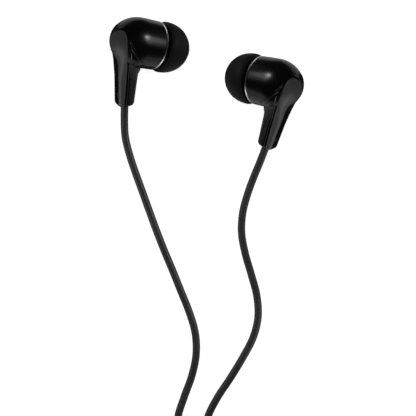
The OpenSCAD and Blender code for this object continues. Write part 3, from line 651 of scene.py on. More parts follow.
def earphone_reach(w, angle, grow=0.0):
    """The stem and the housing as one flowing form. Below the collar the form is the stem's alone."""
    stem = stem_reach(w, angle) + grow
    near = stem + 9 * (1 - rise((w - 4) / 3.1))
    return blend_max(np.minimum(housing_reach(w, angle, grow), near), stem, FILLET)


def raised(w, angle, grow):
    """The flowing form moved out by grow, or by 0.4 at most where a ray only grazes the grown housing."""
    return np.clip(earphone_reach(w, angle, grow), 0, earphone_reach(w, angle) + 0.4)


def seam_u(w):
    """Where the seam between the stem's halves lies, front to back."""
    return np.polyval(SEAM, w)


def face_depth(u, v, w):
    """How far a point lies inside the edge of the cover's keyhole face: behind the seam, inside the head's
    arc, and on the outer side of the stem."""
    head = HEAD_R - np.hypot(v - HEAD_V, w - HEAD_W)
    return blend_min(seam_u(w) - u, np.where(w < HEAD_W, head, np.interp(w, *FACE_EDGE) - v), 0.5)


def collar_depth(u, v, w):
    """How far a point lies inside the collar's edge, which crosses the housing and then rounds the head."""
    front = np.interp(w, *COLLAR_EDGE) - u
    across = np.where(v > HEAD_V, (v - HEAD_V) / 1.9, v - HEAD_V)
    head = HEAD_R + WELT_W - np.hypot(across, w - HEAD_W)
    return np.where(w < HEAD_W, blend_min(front, head, FILLET), front)


def seam_angle(w, margin):
    """The angle round the stem at which its surface meets the plane of the seam, moved forward by margin."""
    table = np.linspace(math.radians(50), math.pi, 261)
    reach = earphone_reach(w[:, None], table[None])
    behind = reach * np.cos(table) < seam_u(w)[:, None] + margin
    return table[np.argmax(behind, axis=1)]


def crowded(count, share):
    """Steps from 0 to 1 that stand closer together at both ends, by that share of an even step."""
    s = np.linspace(0, 1, count)
    return s - share * np.sin(2 * math.pi * s) / (2 * math.pi)


def stem_rows(top):
    """Distances down the stem: close together over the head and at the rounded bottom."""
    return np.concatenate([np.linspace(top, -2.4, 44), np.linspace(-2.34, 6.6, 120),
                           np.linspace(6.7, 10.6, 34), np.linspace(10.8, 16.8, 24),
                           STEM_LEN - CORNER_R * (1 - np.sin(np.linspace(0.06, 1, 9) * math.pi / 2))])


def stem_base_grid():
    """The front half with its collar: the flowing form, sunk where the cover lies on it. A welt follows the
    collar's edge, with a groove inside it; past that edge the form runs down inside the housing as a core."""
    w = stem_rows(BASE_TOP)
    at_seam = seam_angle(w, 0.0)[:, None]
    front = -at_seam + 2 * at_seam * crowded(260, 0.6)[None, :-1]
    rear = at_seam + (2 * math.pi - 2 * at_seam) * crowded(110, 0.85)[None, :-1]
    angle, w = np.concatenate([front, rear], axis=1), w[:, None]
    reach = earphone_reach(w, angle)
    u, v = reach * np.cos(angle), reach * np.sin(angle)
    face, inside = face_depth(u, v, w), collar_depth(u, v, w)
    groove = GROOVE_DEPTH * bell(inside, WELT_FROM, 0.18) * rise((w + 0.4) / 2) * rise((7.4 - w) / 1.2)
    lip = 0.12 * bell(face, -0.32, 0.16) * (1 - rise((w + 1.5) / 1.5))
    parting = PARTING_DEPTH * bell(face, -0.12, 0.26) * rise((w + 1.5) / 2) * (u > seam_u(w) - 0.2)
    surface = (PROUD - groove + lip - parting) * rise((inside + 0.1) / 0.26)
    surface = surface - 0.5 * (1 - rise((inside + 0.22) / 0.3))
    seat = rise((face + 0.06) / 0.16)
    grow = surface * (1 - seat) - 0.42 * seat
    reach = raised(w, angle, grow)
    bottom = rise((w - 5) / 2)
    core = 2.0 * rise((w + 3.4) / 2.5) * (1 - bottom) + stem_reach(w, angle) * bottom
    sunk = rise((-inside - 0.3) / 0.4)
    reach = reach * (1 - sunk) + np.minimum(core, reach) * sunk
    return closed_start(from_stem(reach * np.cos(angle), reach * np.sin(angle), w))


def cover_reach(w, angle):
    """Surface of the cover: the flowing form raised a little, and rounded down at the keyhole face's edge."""
    reach = earphone_reach(w, angle)
    depth = face_depth(reach * np.cos(angle), reach * np.sin(angle), w)
    t = np.clip((depth - 0.2) / 0.3, 0, 1)
    grow = PROUD - 0.16 * (1 - np.sqrt(1 - (1 - t) ** 2)) - 0.7 * (1 - rise((depth - 0.04) / 0.16))
    return raised(w, angle, grow)


def cover_grid():
    """The rear half, whose outside is the keyhole face. A flat wall along the seam closes it in front."""
    w = stem_rows(COVER_TOP)
    at_seam = seam_angle(w, 0.02)[:, None]
    angle = at_seam + (2 * math.pi - 2 * at_seam) * crowded(300, 0.85)[None]
    w = w[:, None]
    reach = cover_reach(w, angle)
    return closed_start(from_stem(reach * np.cos(angle), reach * np.sin(angle), w))


def housing_profile(wall=0.8):
    """The housing as (x, r): its outside from the rear pole to the mouth, and its inside back again."""
    a = np.linspace(0, math.pi / 2, 40)
    rear = np.stack([-BELLY_BACK - TAIL_LEN * np.cos(a), HOUSING_R * np.sin(a)], axis=-1)
    x = np.linspace(-BELLY_BACK, -0.46, 22)[1:]
    mouth = np.stack([x, housing_radius(x)], axis=-1)
    lip = np.array([(-0.38, housing_radius(-0.4) - 0.03), (-0.34, housing_radius(-0.35) - 0.1), (-0.34, 5.93),
                    (-0.52, 5.88), (-0.52, 5.2)])
    inner = np.stack([-BELLY_BACK - (TAIL_LEN - wall) * np.cos(a), (HOUSING_R - wall) * np.sin(a)], axis=-1)
    return np.concatenate([rear, mouth, lip, inner[::-1]])


DOME_FROM, DOME_LEN, TIP_R, TIP_FRONT = 2.0, 7.0, 6.25, 8.75


def dome_radius(x):
    """The ear tip's outline: a rounded cone, widest near its rear rim."""
    t = np.clip((x - DOME_FROM) / DOME_LEN, 0, 1)
    return TIP_R * (1 - t ** 2.2) ** (1 / 1.9)


def tip_profile():
    """The ear tip as (x, r): dome, rounded sound hole, bore, sleeve and the inside of the skirt."""
    x = DOME_FROM + (TIP_FRONT - 0.4 - DOME_FROM) * np.sin(np.linspace(0, 1, 48) * math.pi / 2)
    dome = np.stack([x, dome_radius(x)], axis=-1)
    x = np.linspace(7.0, 1.45, 30)
    skirt = np.stack([x - 0.3, np.maximum(3.42, dome_radius(x) - 0.72)], axis=-1)
    corners = rounded([(TIP_FRONT - 0.12, 2.35), (TIP_FRONT, 1.98), (TIP_FRONT - 0.25, 1.85), (6.35, 1.9),
                       (6.35, 2.7), (2.3, 2.7), (2.3, 3.4)], 0.12, closed=False, steps=3)
    rim = np.array([(1.16, 5.62), (1.25, 5.82), (1.42, 5.98), (1.64, 6.12), (1.82, 6.2)])
    return np.concatenate([rim, dome, corners, skirt])


# ---------------------------------------------------------------- nozzle, splitter, plug and ties

NOZZLE_R, NOZZLE_LEN, NOZZLE_BORE = 2.3, 6.2, 1.7


def front_shell_profile():
    """The front shell as (x, r): spigot, face, cone, nozzle and lip outside, and the bore inside."""
    return rounded([(-1.6, 4.9), (-0.5, 4.9), (-0.5, 5.08), (0.0, 5.08), (0.35, 3.5), (1.3, NOZZLE_R),
                    (4.6, NOZZLE_R), (5.0, 2.65), (5.6, 2.65), (NOZZLE_LEN, NOZZLE_R),
                    (NOZZLE_LEN, NOZZLE_BORE), (-0.5, NOZZLE_BORE), (-0.5, 4.15), (-1.6, 4.15)], 0.14,
                   steps=4)


def trim_profile():
    """The trim ring as (x, r): a thin band with softened outer edges."""
    return rounded([(-0.5, 5.14), (-0.5, 5.9), (-0.32, 5.98), (0.0, 5.96), (0.0, 5.14)], 0.1, steps=5)


def woven_disc(radius, pitch, wire, x, steps=60, sides=6):
    """Two sets of wires square to each other, as (ring, corner, wire, xyz). Each wire is a tube along a chord
    of the disc, and its middle rises and falls by half a wire as the cosine of pi times the distance over the
    pitch."""
    rows = np.arange(-int(radius / pitch), int(radius / pitch) + 1) * pitch
    half = np.sqrt(np.maximum(radius ** 2 - rows ** 2, 0.04))
    s = np.linspace(-1, 1, steps)[None] * half[:, None]
    odd = np.where(np.arange(len(rows)) % 2, 1, -1)[:, None]
    lift = wire / 2 * np.cos(math.pi * s / pitch) * odd
    a = np.arange(sides) / sides * 2 * math.pi
    sets = []
    for flip in (1, -1):
        level = rows[:, None, None] + wire / 2 * np.cos(a)
        high = x + (flip * lift)[..., None] + wire / 2 * np.sin(a)
        run = np.broadcast_to(s[..., None], high.shape)
        level = np.broadcast_to(level, high.shape)
        sets.append(np.stack([high, run, level] if flip > 0 else [high, level, run], axis=-1))
    return closed_ends(np.concatenate(sets).transpose(1, 2, 0, 3))


def splitter_half_grid(upper):
    """Half of the splitter: sections across its length that are superellipses cut level at the parting line.
    Their size follows (1 - |2 s - 1| ** 7) ** (1 / 3), and narrows a little towards the trunk."""
    s = (1 - np.cos(np.linspace(0.02, 0.98, 46) * math.pi)) / 2
    size = (1 - np.abs(2 * s - 1) ** 7) ** (1 / 3)
    size = size / size.max()
    wide = (SPLITTER_W / 2 - 0.75 * rise((s - 0.35) / 0.5)) * size
    a = np.linspace(0, math.pi, 40)
    out = superellipse(a[None], wide[:, None], (SPLITTER_T / 2 * size)[:, None], 3.0)
    edge = 0.05 + 0.13 * np.exp(-np.minimum(a, math.pi - a) / 0.09)[None] * size[:, None]
    out = np.maximum(out - edge, 0.01)
    x, z = out * np.cos(a), out * np.sin(a) * (1 if upper else -1) + (0.03 if upper else -0.03)
    y = np.broadcast_to(-SPLITTER_LEN * s[:, None], x.shape)
    return closed_start(np.stack([x, y, z], axis=-1)) + (*SPLITTER_AT, SPLITTER_T / 2)


def along_y(profile, x, y, z, way, sides=64):
    """A revolved grid whose axis is turned to run along Y (way 1 or -1) from a point."""
    grid = revolved(profile, sides)
    return np.stack([grid[..., 1] * way, grid[..., 0] * way, grid[..., 2]], axis=-1) + (x, y, z)


def relief_profile(bore, root, length, rings):
    """A tapered strain relief as (distance, radius): it narrows away from its root, with a groove after each
    ring."""
    s = np.linspace(0, 1, 12 * rings + 1)
    outer = bore + 0.28 + (root - bore - 0.28) * (1 - s) ** 1.1
    outer = outer - 0.24 * rise((np.abs((s * rings) % 1 - 0.5) - 0.3) / 0.12) * (s > 0.5 / rings) * (s < 0.96)
    return np.concatenate([[(0.0, bore - 0.12)], np.stack([s * length, outer], axis=-1),
                           [(length + 0.1, outer[-1] - 0.1), (length + 0.1, bore - 0.12)]])


def grip_profile():
    """The plug's grip as (distance from its cord end, radius): rounded ends, a shallow waist and grooves."""
    s = np.linspace(0, 1, 121)
    ends = (1 - np.abs(2 * s - 1) ** 9) ** (1 / 4)
    waist = 0.28 * bell(s, 0.5, 0.22)
    groove = 0.16 * rise((np.cos(s * 2 * math.pi * 16) - 0.55) / 0.3) * rise((0.24 - np.abs(s - 0.5)) / 0.02)
    radius = (GRIP_R - waist - groove) * (0.78 + 0.22 * ends) * np.minimum(1, ends * 1.6)
    return np.stack([s * GRIP_LEN, np.maximum(radius, 0)], axis=-1)


def band_profile(start, end, radius, bore):
    """A contact or insulator as (distance, radius), with broken edges."""
    return rounded([(start, bore), (start, radius), (end, radius), (end, bore)], 0.06, steps=3)


def tie_grid(coil, angle):
    """A strap round a coil's turns: a rounded rectangle carried along a larger one that holds the turns."""
    at, outer, pitch, per_layer, layers, diameter = coil
    inner = outer - pitch * per_layer
    wide, high = outer - inner + diameter + 2 * FIT, diameter + pitch * (layers - 1) + 2 * FIT
    a, b = wide / 2 + TIE_T / 2, high / 2 + TIE_T / 2
    loop = rounded([(-a, -b), (a, -b), (a, b), (-a, b)], 0.8, steps=9)
    out = unit(np.roll(loop, -1, axis=0) - np.roll(loop, 1, axis=0))[:, ::-1] * (1, -1)
    section = rounded(np.array([(-1, -1), (1, -1), (1, 1), (-1, 1)]) * (TIE_T / 2, TIE_W / 2), 0.12)
    flat = loop[:, None] + out[:, None] * section[None, :, :1]
    across = np.broadcast_to(section[None, :, 1], flat.shape[:2])
    x, z = flat[..., 0] + (outer + inner) / 2, flat[..., 1] + TIE_T + high / 2
    grid = np.stack([x, across, z], axis=-1) @ spin(2, angle).T + (*at, 0)
    return grid, np.stack(np.broadcast_arrays(run_along(loop)[:, None], across, 0.0), axis=-1)


# ---------------------------------------------------------------- settings

class EarphoneSizes(bpy.types.PropertyGroup):
    """Sizes that may be changed without touching the frame."""
    branch_diameter: bpy.props.FloatProperty(
        name="Branch cord", description="Diameter of the two branch cords", default=BRANCH_D * MM,
        unit="LENGTH")
    trunk_diameter: bpy.props.FloatProperty(
        name="Trunk cord", description="Diameter of the trunk cord", default=TRUNK_D * MM, unit="LENGTH")
    mesh_pitch: bpy.props.FloatProperty(
        name="Mesh pitch", description="Distance between the wires of the nozzle's mesh", default=0.2 * MM,
        unit="LENGTH")
    mesh_wire: bpy.props.FloatProperty(
        name="Mesh wire", description="Thickness of those wires", default=0.08 * MM, unit="LENGTH")


def colour_setting(name, description, default):
    """A colour, without alpha."""
    return bpy.props.FloatVectorProperty(name=name, description=description, default=default, size=3,
                                         subtype="COLOR", min=0, max=1)


class EarphoneFinishes(bpy.types.PropertyGroup):
    """Colours and gloss of what shows."""
    housing: colour_setting("Housing", "Colour of the glossy housing", (0.0012, 0.0012, 0.0013))
    front_half: colour_setting("Stem front", "Colour of the stem's front half and collar",
                               (0.002, 0.002, 0.0021))
    cover: colour_setting("Stem cover", "Colour of the satin keyhole face", (0.05, 0.05, 0.051))
    silicone: colour_setting("Ear tip", "Colour of the ear tip", (0.01, 0.01, 0.0102))
    cord: colour_setting("Cord", "Colour of the cords", (0.022, 0.022, 0.0225))
    trim: colour_setting("Trim ring", "Colour of the trim ring", (0.85, 0.85, 0.86))
    contacts: colour_setting("Contacts", "Colour of the plug's plating", (0.86, 0.62, 0.28))
    housing_roughness: bpy.props.FloatProperty(
        name="Housing roughness", description="Roughness of the glossy housing", default=0.27, min=0, max=1,
        subtype="FACTOR")
    cover_roughness: bpy.props.FloatProperty(
        name="Cover roughness", description="Roughness of the satin keyhole face", default=0.5, min=0, max=1,
        subtype="FACTOR")


class StudioSettings(bpy.types.PropertyGroup):
    """The floor and the lights."""
    floor: colour_setting("Floor", "Colour of the floor", (0.9, 0.9, 0.9))
    floor_glow: bpy.props.FloatProperty(
        name="Floor glow", description="Light that the floor gives off, which keeps it white", default=1.0,
        min=0)
    sheen: bpy.props.FloatProperty(
        name="Sheen", description="Brightness of the floor as the glossy surfaces mirror it", default=0.4,
        min=0)
    key: bpy.props.FloatProperty(
        name="Side lights", description="Brightness of the small lights beside each earphone", default=1.0,
        min=0)
    fill: bpy.props.FloatProperty(
        name="Fill", description="Brightness of the broad light overhead", default=2.0, min=0)
    strips: bpy.props.FloatProperty(
        name="Strips", description="Brightness of the two long lights beside the cords", default=2.2,
        min=0)
    air: bpy.props.FloatProperty(
        name="Air", description="Brightness of the dark room round the set", default=0.02, min=0)


def finish_for(slot_name, side="left"):
    """The finish of a slot, made the first time that it is asked for."""
    key = f"{slot_name}_{side}_finish" if slot_name in TURNED_SLOTS else f"{slot_name}_finish"
    made = bpy.data.materials.get(key)
    return made or FINISHES[slot_name](key, bpy.context.scene.earphone_finishes, side)


# Slots whose marks run round an earphone's own axis, so that each side has its own finish
TURNED_SLOTS = ("trim", "driver_alloy", "driver_steel", "magnet", "film", "film_ring")
PLUG_AXIS = (np.array((PLUG_AT[0], 0, GRIP_R)), (0, -1, 0))
# What makes each slot's finish from the material's name, the colour settings and the side
FINISHES = {
    "housing_gloss": lambda n, c, s: glossy(n, c.housing, c.housing_roughness, 0.35),
    "stem_gloss": lambda n, c, s: glossy(n, c.front_half, 0.2, 0.0),
    "stem_satin": lambda n, c, s: moulded(n, c.cover, c.cover_roughness, 0.05, 0.1, 0.005,
                                          (0.065, 0.065, 0.0665)),
    "silicone": lambda n, c, s: silicone(n, c.silicone),
    "nozzle_black": lambda n, c, s: moulded(n, (0.004, 0.004, 0.0042), 0.5, 0.06, 0.12, 0.006,
                                            (0.01, 0.01, 0.01)),
    "trim": lambda n, c, s: turned(n, c.trim, 0.3, s, pitch=0.09, depth=0.002, worn=(0.5, 0.5, 0.5)),
    "mesh": lambda n, c, s: metal(n, (0.5, 0.5, 0.5), 0.3, pitch=0.05),
    "damper": lambda n, c, s: fibrous(n, (0.5, 0.49, 0.44), (0.75, 0.74, 0.7), 0.12, 0.05),
    "brass": lambda n, c, s: metal(n, (0.75, 0.52, 0.2), 0.3),
    "cord": lambda n, c, s: corded(n, c.cord),
    "copper": lambda n, c, s: lacquered(n, (0.75, 0.25, 0.09)),
    "driver_alloy": lambda n, c, s: turned(n, (0.5, 0.5, 0.52), 0.4, s),
    "driver_steel": lambda n, c, s: turned(n, (0.55, 0.55, 0.56), 0.28, s, pitch=0.12),
    "magnet": lambda n, c, s: turned(n, (0.62, 0.61, 0.58), 0.22, s, pitch=0.3, worn=(0.4, 0.38, 0.34)),
    "film": lambda n, c, s: film(n, (0.7, 0.62, 0.35), s),
    "film_ring": lambda n, c, s: film(n, (0.45, 0.38, 0.2), s),
    "foam": lambda n, c, s: fibrous(n, (0.02, 0.02, 0.022), (0.06, 0.06, 0.065), 0.18, 0.06),
    "board": lambda n, c, s: circuit(n),
    "tie": lambda n, c, s: strap(n, (0.012, 0.012, 0.0125)),
    "moulding": lambda n, c, s: moulded(n, (0.012, 0.012, 0.0125), 0.42, 0.06, 0.14, 0.008,
                                        (0.025, 0.025, 0.026)),
    "core": lambda n, c, s: moulded(n, (0.08, 0.08, 0.085), 0.5, 0.05, 0.2, 0.01, (0.12, 0.12, 0.12)),
    "contact": lambda n, c, s: metal(n, c.contacts, 0.18, *PLUG_AXIS, pitch=0.08, depth=0.002,
                                     worn=(0.7, 0.45, 0.2)),
    "insulator": lambda n, c, s: moulded(n, (0.008, 0.008, 0.008), 0.35, 0.04, 0.1, 0.004,
                                         (0.02, 0.02, 0.02)),
}


# ---------------------------------------------------------------- operators

COLLAR_SUNK = 0.4
# The plug's pin: its radius, its core's, and where its bands start and end
PIN_R, CORE_R = 1.75, 0.6
PIN_SLEEVE, PIN_RING, PIN_SPACERS = (0.0, 7.2), (7.8, 10.0), ((-0.3, 0.02), (7.2, 7.8), (10.0, 10.6))
CORD_PARTS = ("cord", "coil", "lead")
SPLITTER_PIECES = ("splitter_upper", "splitter_lower", "splitter_reliefs", "splitter_core")


def keep(piece, slot_name, body, *nodes, side="left"):
    """Gives a new piece the finish of its slot, the body that it moves with and the solids it stands for."""
    piece.data.materials.append(finish_for(slot_name, side))
    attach(piece, body)
    if nodes:
        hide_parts(*nodes)
    return piece


def keep_on_axis(name, profile, sides, slot_name, body, node):
    """For both earphones, a profile turned about the nozzle's axis, in place of a solid."""
    for side in SIDES:
        piece = make_piece(f"{side}_{name}", lay_points(revolved(profile, sides), side), wrap_rows=True)
        keep(piece, slot_name, body.format(side), f"{side}_{node}", side=side)


def keep_grid(name, grid, slot_name, node, sharp=40):
    """For both earphones, a grid in place of a solid."""
    for side in SIDES:
        piece = make_piece(f"{side}_{name}", lay_points(grid, side), sharp=sharp)
        keep(piece, slot_name, BODY, f"{side}_{node}")


def build_housings():
    keep_on_axis("housing", housing_profile(), 160, "housing_gloss", BODY, "rear_shell")
    keep_on_axis("bright_ring", trim_profile(), 160, "trim", BODY, "trim_ring")
    keep_on_axis("nozzle_shell", front_shell_profile(), 128, "nozzle_black", BODY, "front_shell")


def build_stems():
    keep_grid("stem_front", stem_base_grid(), "stem_gloss", "stem_base", sharp=60)
    keep_grid("stem_face", cover_grid(), "stem_satin", "stem_cover", sharp=60)


def build_tips(context):
    sizes = context.scene.earphone_sizes
    keep_on_axis("silicone_tip", tip_profile(), 160, "silicone", "{}_tip", "ear_tip")
    wires = woven_disc(NOZZLE_BORE, sizes.mesh_pitch / MM, sizes.mesh_wire / MM, NOZZLE_LEN - 0.17)
    keep_grid("wire_mesh", wires, "mesh", "nozzle_mesh")


def keep_cord(name, path, diameter, nodes, start):
    """A cord along a path, in place of its solids."""
    grid, marks = tube_grid(path, diameter)
    cord = keep(make_piece(name, grid, lay=marks), "cord", BODY, *nodes)
    path * MM


def build_cords(context):
    sizes = context.scene.earphone_sizes
    branch_d, trunk_d = sizes.branch_diameter / MM, sizes.trunk_diameter / MM
    for side, far_end, fittings in (("left", "fitting", SPLITTER_PIECES), ("right", "object", ())):
        nodes = [f"{side}_{part}" for part in CORD_PARTS]
        keep_cord(f"{side}_branch_cord", smooth_path(branch_path(side), BRANCH_STEP), branch_d, nodes,
                  stem_exit(side))
    keep_cord("trunk_cable", smooth_path(trunk_path(), TRUNK_STEP), trunk_d,
              [f"trunk_{part}" for part in CORD_PARTS], TRUNK_START[0])


def build_fittings():
    keep(make_piece("splitter_upper", splitter_half_grid(True)), "moulding", BODY, "splitter_top")
    keep(make_piece("splitter_lower", splitter_half_grid(False)), "moulding", BODY, "splitter_bottom")
    x, y = SPLITTER_AT
    entry, leave = y - COLLAR_SUNK, y - SPLITTER_LEN + COLLAR_SUNK
    places = ((BRANCH_D, x - ENTRY_GAP, entry, 1), (BRANCH_D, x + ENTRY_GAP, entry, 1),
              (TRUNK_D, x, leave, -1))
    collars = [along_y(relief_profile(d / 2, d / 2 + 0.75, 2.6, 3), at_x, at_y, SPLITTER_T / 2, way, 48)
               for d, at_x, at_y, way in places]
    keep(make_rings("splitter_reliefs", collars), "moulding", BODY)
    for name, angle in (("left", 180), ("right", 0), ("trunk", 270)):
        grid, marks = tie_grid(COILS[name], angle)
        keep(make_piece(f"{name}_strap", grid, wrap_rows=True, lay=marks), "tie", BODY, f"{name}_coil_tie")


def build_plug():
    x, y = PLUG_AT
    root = y - RELIEF_LEN
    relief = along_y(relief_profile(TRUNK_D / 2, GRIP_R - 0.6, RELIEF_LEN, 6), x, root, GRIP_R, 1)
    grip = along_y(grip_profile(), x, root, GRIP_R, -1)
    keep(make_rings("plug_handle", [relief, grip]), "moulding", BODY, "plug_grip")

    def on_pin(profile):
        return along_y(profile, x, root - GRIP_LEN, GRIP_R, -1, 96)

    for name, start, end in (("sleeve", *PIN_SLEEVE), ("ring", *PIN_RING)):
        band = on_pin(band_profile(start, end, PIN_R, CORE_R))
        keep(make_piece(f"plug_contact_{name}", band, wrap_rows=True), "contact", BODY, f"plug_{name}")
    tip = rounded([(10.6, 0.0), (10.6, 1.45), (11.5, 1.15), (12.1, 1.6), (12.8, 1.45), (13.85, 0.5),
                   (14.0, 0.0)], 0.22, closed=False)
    keep(make_piece("plug_contact_tip", on_pin(tip)), "contact", BODY, "plug_tip")
    spacers = [on_pin(band_profile(start, end, PIN_R - 0.03, CORE_R)) for start, end in PIN_SPACERS]
    keep(make_rings("plug_spacers", spacers), "insulator", BODY, "plug_insulators")


def finish_solids():
    """Gives solids the finish of their slot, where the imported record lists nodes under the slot."""
    for entry in frame["record"]["materials"]:
        for node in entry.get("nodes", ()):
            if node in frame["nodes"]:
                side = node.split("_")[0] if node.startswith(SIDES) else "left"
                materials = frame["nodes"][node].data.materials
                materials.clear()
                materials.append(finish_for(entry["slot"], side))


LENS, SENSOR, CAMERA_AT = 138.9, 36, (0.26, -30.15, 400)
FLOOR_HALF, BACKDROP_R, UNDER_FLOOR = 4000, 3900, -0.4
# The broad light overhead, and the strips beside the cords: target, distance and size
SET_MIDDLE, FILL_HEIGHT, FILL_SIZE = (0, -80, 0), 900, 700
CORDS_MIDDLE, STRIP_DISTANCE, STRIP_LENGTH, STRIP_WIDTH = (0, -45, 0), 260, 340, 70


def aim_at(direction, side):
    """A direction chosen for the left earphone, or its mirror image for the right one."""
    azimuth, elevation = (math.radians(angle) for angle in direction)
    way = np.array((math.cos(azimuth) * math.cos(elevation), math.sin(azimuth) * math.cos(elevation),
                    math.sin(elevation)))
    return way if side == "left" else (way * (-1, 1, 1)) @ spin(2, TURN_RIGHT).T


def add_light(name, target, way, distance, size, radiance, height=None):
    """An elliptical soft light of a given radiance that looks at a target from a distance; round without a
    height."""
    height = height or size
    lamp = bpy.data.lights.new(name, "AREA")
    lamp.shape, lamp.size, lamp.size_y = "ELLIPSE", size * MM, height * MM
    lamp.energy = radiance * math.pi ** 2 * size * height * MM ** 2 / 4
    light = bpy.data.objects.new(name, lamp)
    light.location = (np.array(target) + way * distance) * MM
    light.rotation_mode = "QUATERNION"
    light.rotation_quaternion = Vector(way).to_track_quat("Z", "Y")
    bpy.context.scene.collection.objects.link(light)
    return light


def build_studio(context):
    """A white floor and backdrop, a few small soft lights, and the camera that looks straight down."""
    scene, studio = context.scene, context.scene.earphone_studio
    camera = bpy.data.objects.new("camera", bpy.data.cameras.new("camera"))
    camera.data.lens, camera.data.sensor_width = LENS, SENSOR
    camera.data.clip_start, camera.data.clip_end = 0.01, 20
    camera.location = np.array(CAMERA_AT) * MM
    scene.collection.objects.link(camera)
    scene.camera = camera
    paper = Finish("floor_paper", studio.floor, 0.9, **{"Emission Strength": studio.floor_glow,
                                                        "Specular IOR Level": 0.0})
    paper.set({"Base Color": paper.tinted(paper.noise(60, 3) * 0.06, (0.8, 0.8, 0.8)),
               "Emission Color": (*studio.floor, 1)})
    corners = np.array([[(x, y, 0.0) for x in (-1, 1)] for y in (-1, 1)]) * FLOOR_HALF
    floor = make_piece("floor", corners, wrap_columns=False)
    height = np.linspace(0, math.pi / 2, 12)
    arch = np.stack([np.sin(height), np.cos(height)], axis=-1) * BACKDROP_R
    backdrop = make_piece("backdrop", np.roll(revolved(arch, 48), -1, axis=-1))
    backdrop.visible_glossy = backdrop.visible_diffuse = backdrop.visible_shadow = False
    floor.visible_glossy = False
    sheen = Finish("sheen_paper", (0, 0, 0), 1.0, **{"Emission Strength": studio.sheen,
                                                     "Specular IOR Level": 0.0})
    sheen.set({"Emission Color": (1, 1, 1, 1)})
    fans = [make_piece(f"{side}_{name}", sheen_fan(side, *fan), wrap_columns=False)
            for side in SIDES for name, *fan in SHEEN_FANS]
    for fan in fans:
        fan.visible_camera = fan.visible_diffuse = fan.visible_shadow = False
    for piece in (floor, backdrop, *fans):
        piece.data.materials.append(sheen.material if piece in fans else paper.material)
    world = bpy.data.worlds.new("studio_air")
    world.use_nodes = True
    background = world.node_tree.nodes["Background"].inputs
    background["Color"].default_value, background["Strength"].default_value = (1, 1, 1, 1), studio.air
    scene.world = world
    scene.view_settings.view_transform = "Standard"
    for side in SIDES:
        own = [piece for piece in scene.objects if piece.name.startswith(side)]
        ring = [piece for piece in own if piece.name.endswith("bright_ring")]
        lit = {"body": gathered(f"{side}_body_lit", [piece for piece in own if piece not in ring]),
               "stem": gathered(f"{side}_stem_lit", [piece for piece in own if "_stem_" in piece.name]),
               "ring": gathered(f"{side}_ring_lit", ring)}
        for name, receivers, direction, distance, size, radiance in SIDE_LIGHTS:
            light = add_light(f"{side}_{name}", (*RING_AT[side], REST_H), aim_at(direction, side), distance,
                              size, radiance * studio.key)
            light.light_linking.receiver_collection = lit[receivers]
    fill = add_light("top_fill", SET_MIDDLE, np.array((0, 0.2, 1.0)), FILL_HEIGHT, FILL_SIZE,
                     studio.fill)
    fill.visible_glossy = False
    cords = gathered("cords_lit", [piece for piece in scene.objects if piece.name.endswith("_branch_cord")])
    for name, across in (("cord_left", -0.866), ("cord_right", 0.866)):
        strip = add_light(name, CORDS_MIDDLE, np.array((across, 0, 0.5)), STRIP_DISTANCE, STRIP_LENGTH,
                          studio.strips, height=STRIP_WIDTH)
        strip.light_linking.receiver_collection = cords


def gathered(name, pieces):
    """A collection of the pieces that a light falls on."""
    collection = bpy.data.collections.new(name)
    for piece in pieces:
        collection.objects.link(piece)
    return collection


def sheen_fan(side, azimuths, reaches):
    """A fan just under the floor: its outer edge stands at the given reaches from an earphone's mouth at the
    given azimuths."""
    angles = np.linspace(azimuths[0], azimuths[-1], 48)
    ways = np.array([aim_at((angle, 0), side) for angle in angles])
    outer = ways * np.interp(angles, azimuths, reaches)[:, None]
    return np.stack([ways * 2, outer], axis=1) + (*RING_AT[side], UNDER_FLOOR)


# Parts of the floor that the glossy surfaces mirror: name, azimuths on the left side, and reaches there
SHEEN_FANS = (("near_sheen", (-84, -40), (400, 400)),
              ("far_sheen", (45, 90, 104, 118, 135), (20, 27, 50, 250, 400)))
# Name, pieces it falls on, azimuth and elevation seen from the left earphone, distance, size, radiance
SIDE_LIGHTS = (
    ("key", "body", (21, 37), 300, 60, 6.0),
    ("key_inner", "body", (18, 35), 305, 115, 2.4),
    ("key_outer", "body", (12, 31), 310, 175, 1.0),
    ("key_halo", "body", (4, 27), 315, 200, 0.35),
    ("stem_card", "body", (-142, 10), 80, 60, 1.0),
    ("front_card", "stem", (-42, 8), 120, 36, 0.35),
    ("cap_card", "stem", (-137, -2), 66, 28, 2.0),
    ("ring_far", "ring", (78, 6), 150, 120, 2.0),
    ("ring_near", "ring", (-68, -6), 34, 22, 1.1),
)


# ---------------------------------------------------------------- operators and panel

class EARPHONES_OT_studio(bpy.types.Operator):
    """Sets up the floor, the lights and the camera"""
    bl_idname = "earphones.studio"
    bl_label = "Studio"

    def execute(self, context):
        build_studio(context)
        return {"FINISHED"}


class EARPHONES_OT_cords(bpy.types.Operator):
    """Sweeps the two branch cords and the trunk along their routes and coils"""
    bl_idname = "earphones.cords"
    bl_label = "Cords"

    def execute(self, context):
        build_cords(context)
        return {"FINISHED"}


class EARPHONES_OT_housings(bpy.types.Operator):
    """Turns the glossy housings, the trim rings and the nozzle shells"""
    bl_idname = "earphones.housings"
    bl_label = "Housings"

    def execute(self, context):
        build_housings()
        return {"FINISHED"}


class EARPHONES_OT_stems(bpy.types.Operator):
    """Lofts the stems' front halves and their keyhole covers"""
    bl_idname = "earphones.stems"
    bl_label = "Stems"

    def execute(self, context):
        build_stems()
        return {"FINISHED"}


class EARPHONES_OT_tips(bpy.types.Operator):
    """Turns the silicone ear tips and weaves the nozzle meshes"""
    bl_idname = "earphones.tips"
    bl_label = "Ear tips"

    def execute(self, context):
        build_tips(context)
        return {"FINISHED"}


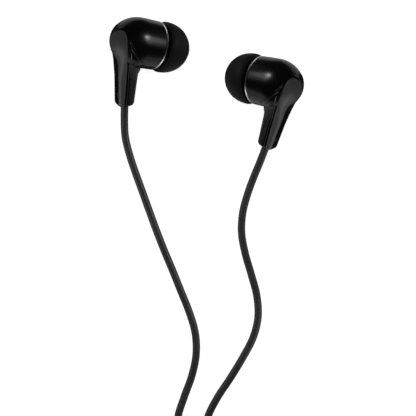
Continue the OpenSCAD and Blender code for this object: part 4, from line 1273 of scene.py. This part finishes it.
class EARPHONES_OT_fittings(bpy.types.Operator):
    """Shapes the splitter, its reliefs and the coils' straps"""
    bl_idname = "earphones.fittings"
    bl_label = "Splitter and straps"

    def execute(self, context):
        build_fittings()
        return {"FINISHED"}


class EARPHONES_OT_plug(bpy.types.Operator):
    """Turns the plug's relief, grip, contacts and spacers"""
    bl_idname = "earphones.plug"
    bl_label = "Plug"

    def execute(self, context):
        build_plug()
        return {"FINISHED"}


class EARPHONES_OT_solids(bpy.types.Operator):
    """Finishes the solids that stay as they are"""
    bl_idname = "earphones.solids"
    bl_label = "Solids"

    def execute(self, context):
        finish_solids()
        return {"FINISHED"}


OPERATORS = (EARPHONES_OT_studio, EARPHONES_OT_cords, EARPHONES_OT_housings, EARPHONES_OT_stems,
             EARPHONES_OT_tips, EARPHONES_OT_fittings, EARPHONES_OT_plug, EARPHONES_OT_solids)


SETTINGS = {"earphone_sizes": EarphoneSizes, "earphone_finishes": EarphoneFinishes,
            "earphone_studio": StudioSettings}


class EARPHONES_PT_panel(bpy.types.Panel):
    """Lists the steps and the settings"""
    bl_idname = "EARPHONES_PT_panel"
    bl_label = "Wired earphones"
    bl_space_type = "VIEW_3D"
    bl_region_type = "UI"
    bl_category = "Earphones"

    def draw(self, context):
        for setting in SETTINGS:
            group, box = getattr(context.scene, setting), self.layout.box()
            for name in group.__annotations__:
                box.prop(group, name)
        for operator in OPERATORS:
            self.layout.operator(operator.bl_idname)


CLASSES = (*SETTINGS.values(), *OPERATORS, EARPHONES_PT_panel)


def register():
    for part in CLASSES:
        bpy.utils.register_class(part)
    for name, group in SETTINGS.items():
        setattr(bpy.types.Scene, name, bpy.props.PointerProperty(type=group))


def unregister():
    for name in SETTINGS:
        delattr(bpy.types.Scene, name)
    for part in reversed(CLASSES):
        bpy.utils.unregister_class(part)


def main():
    """Builds everything in order."""
    register()
    for name in ("fittings", "plug", "cords", "housings", "stems", "tips", "solids", "studio"):
        getattr(bpy.ops.earphones, name)()


if __name__ == "__main__":
    main()
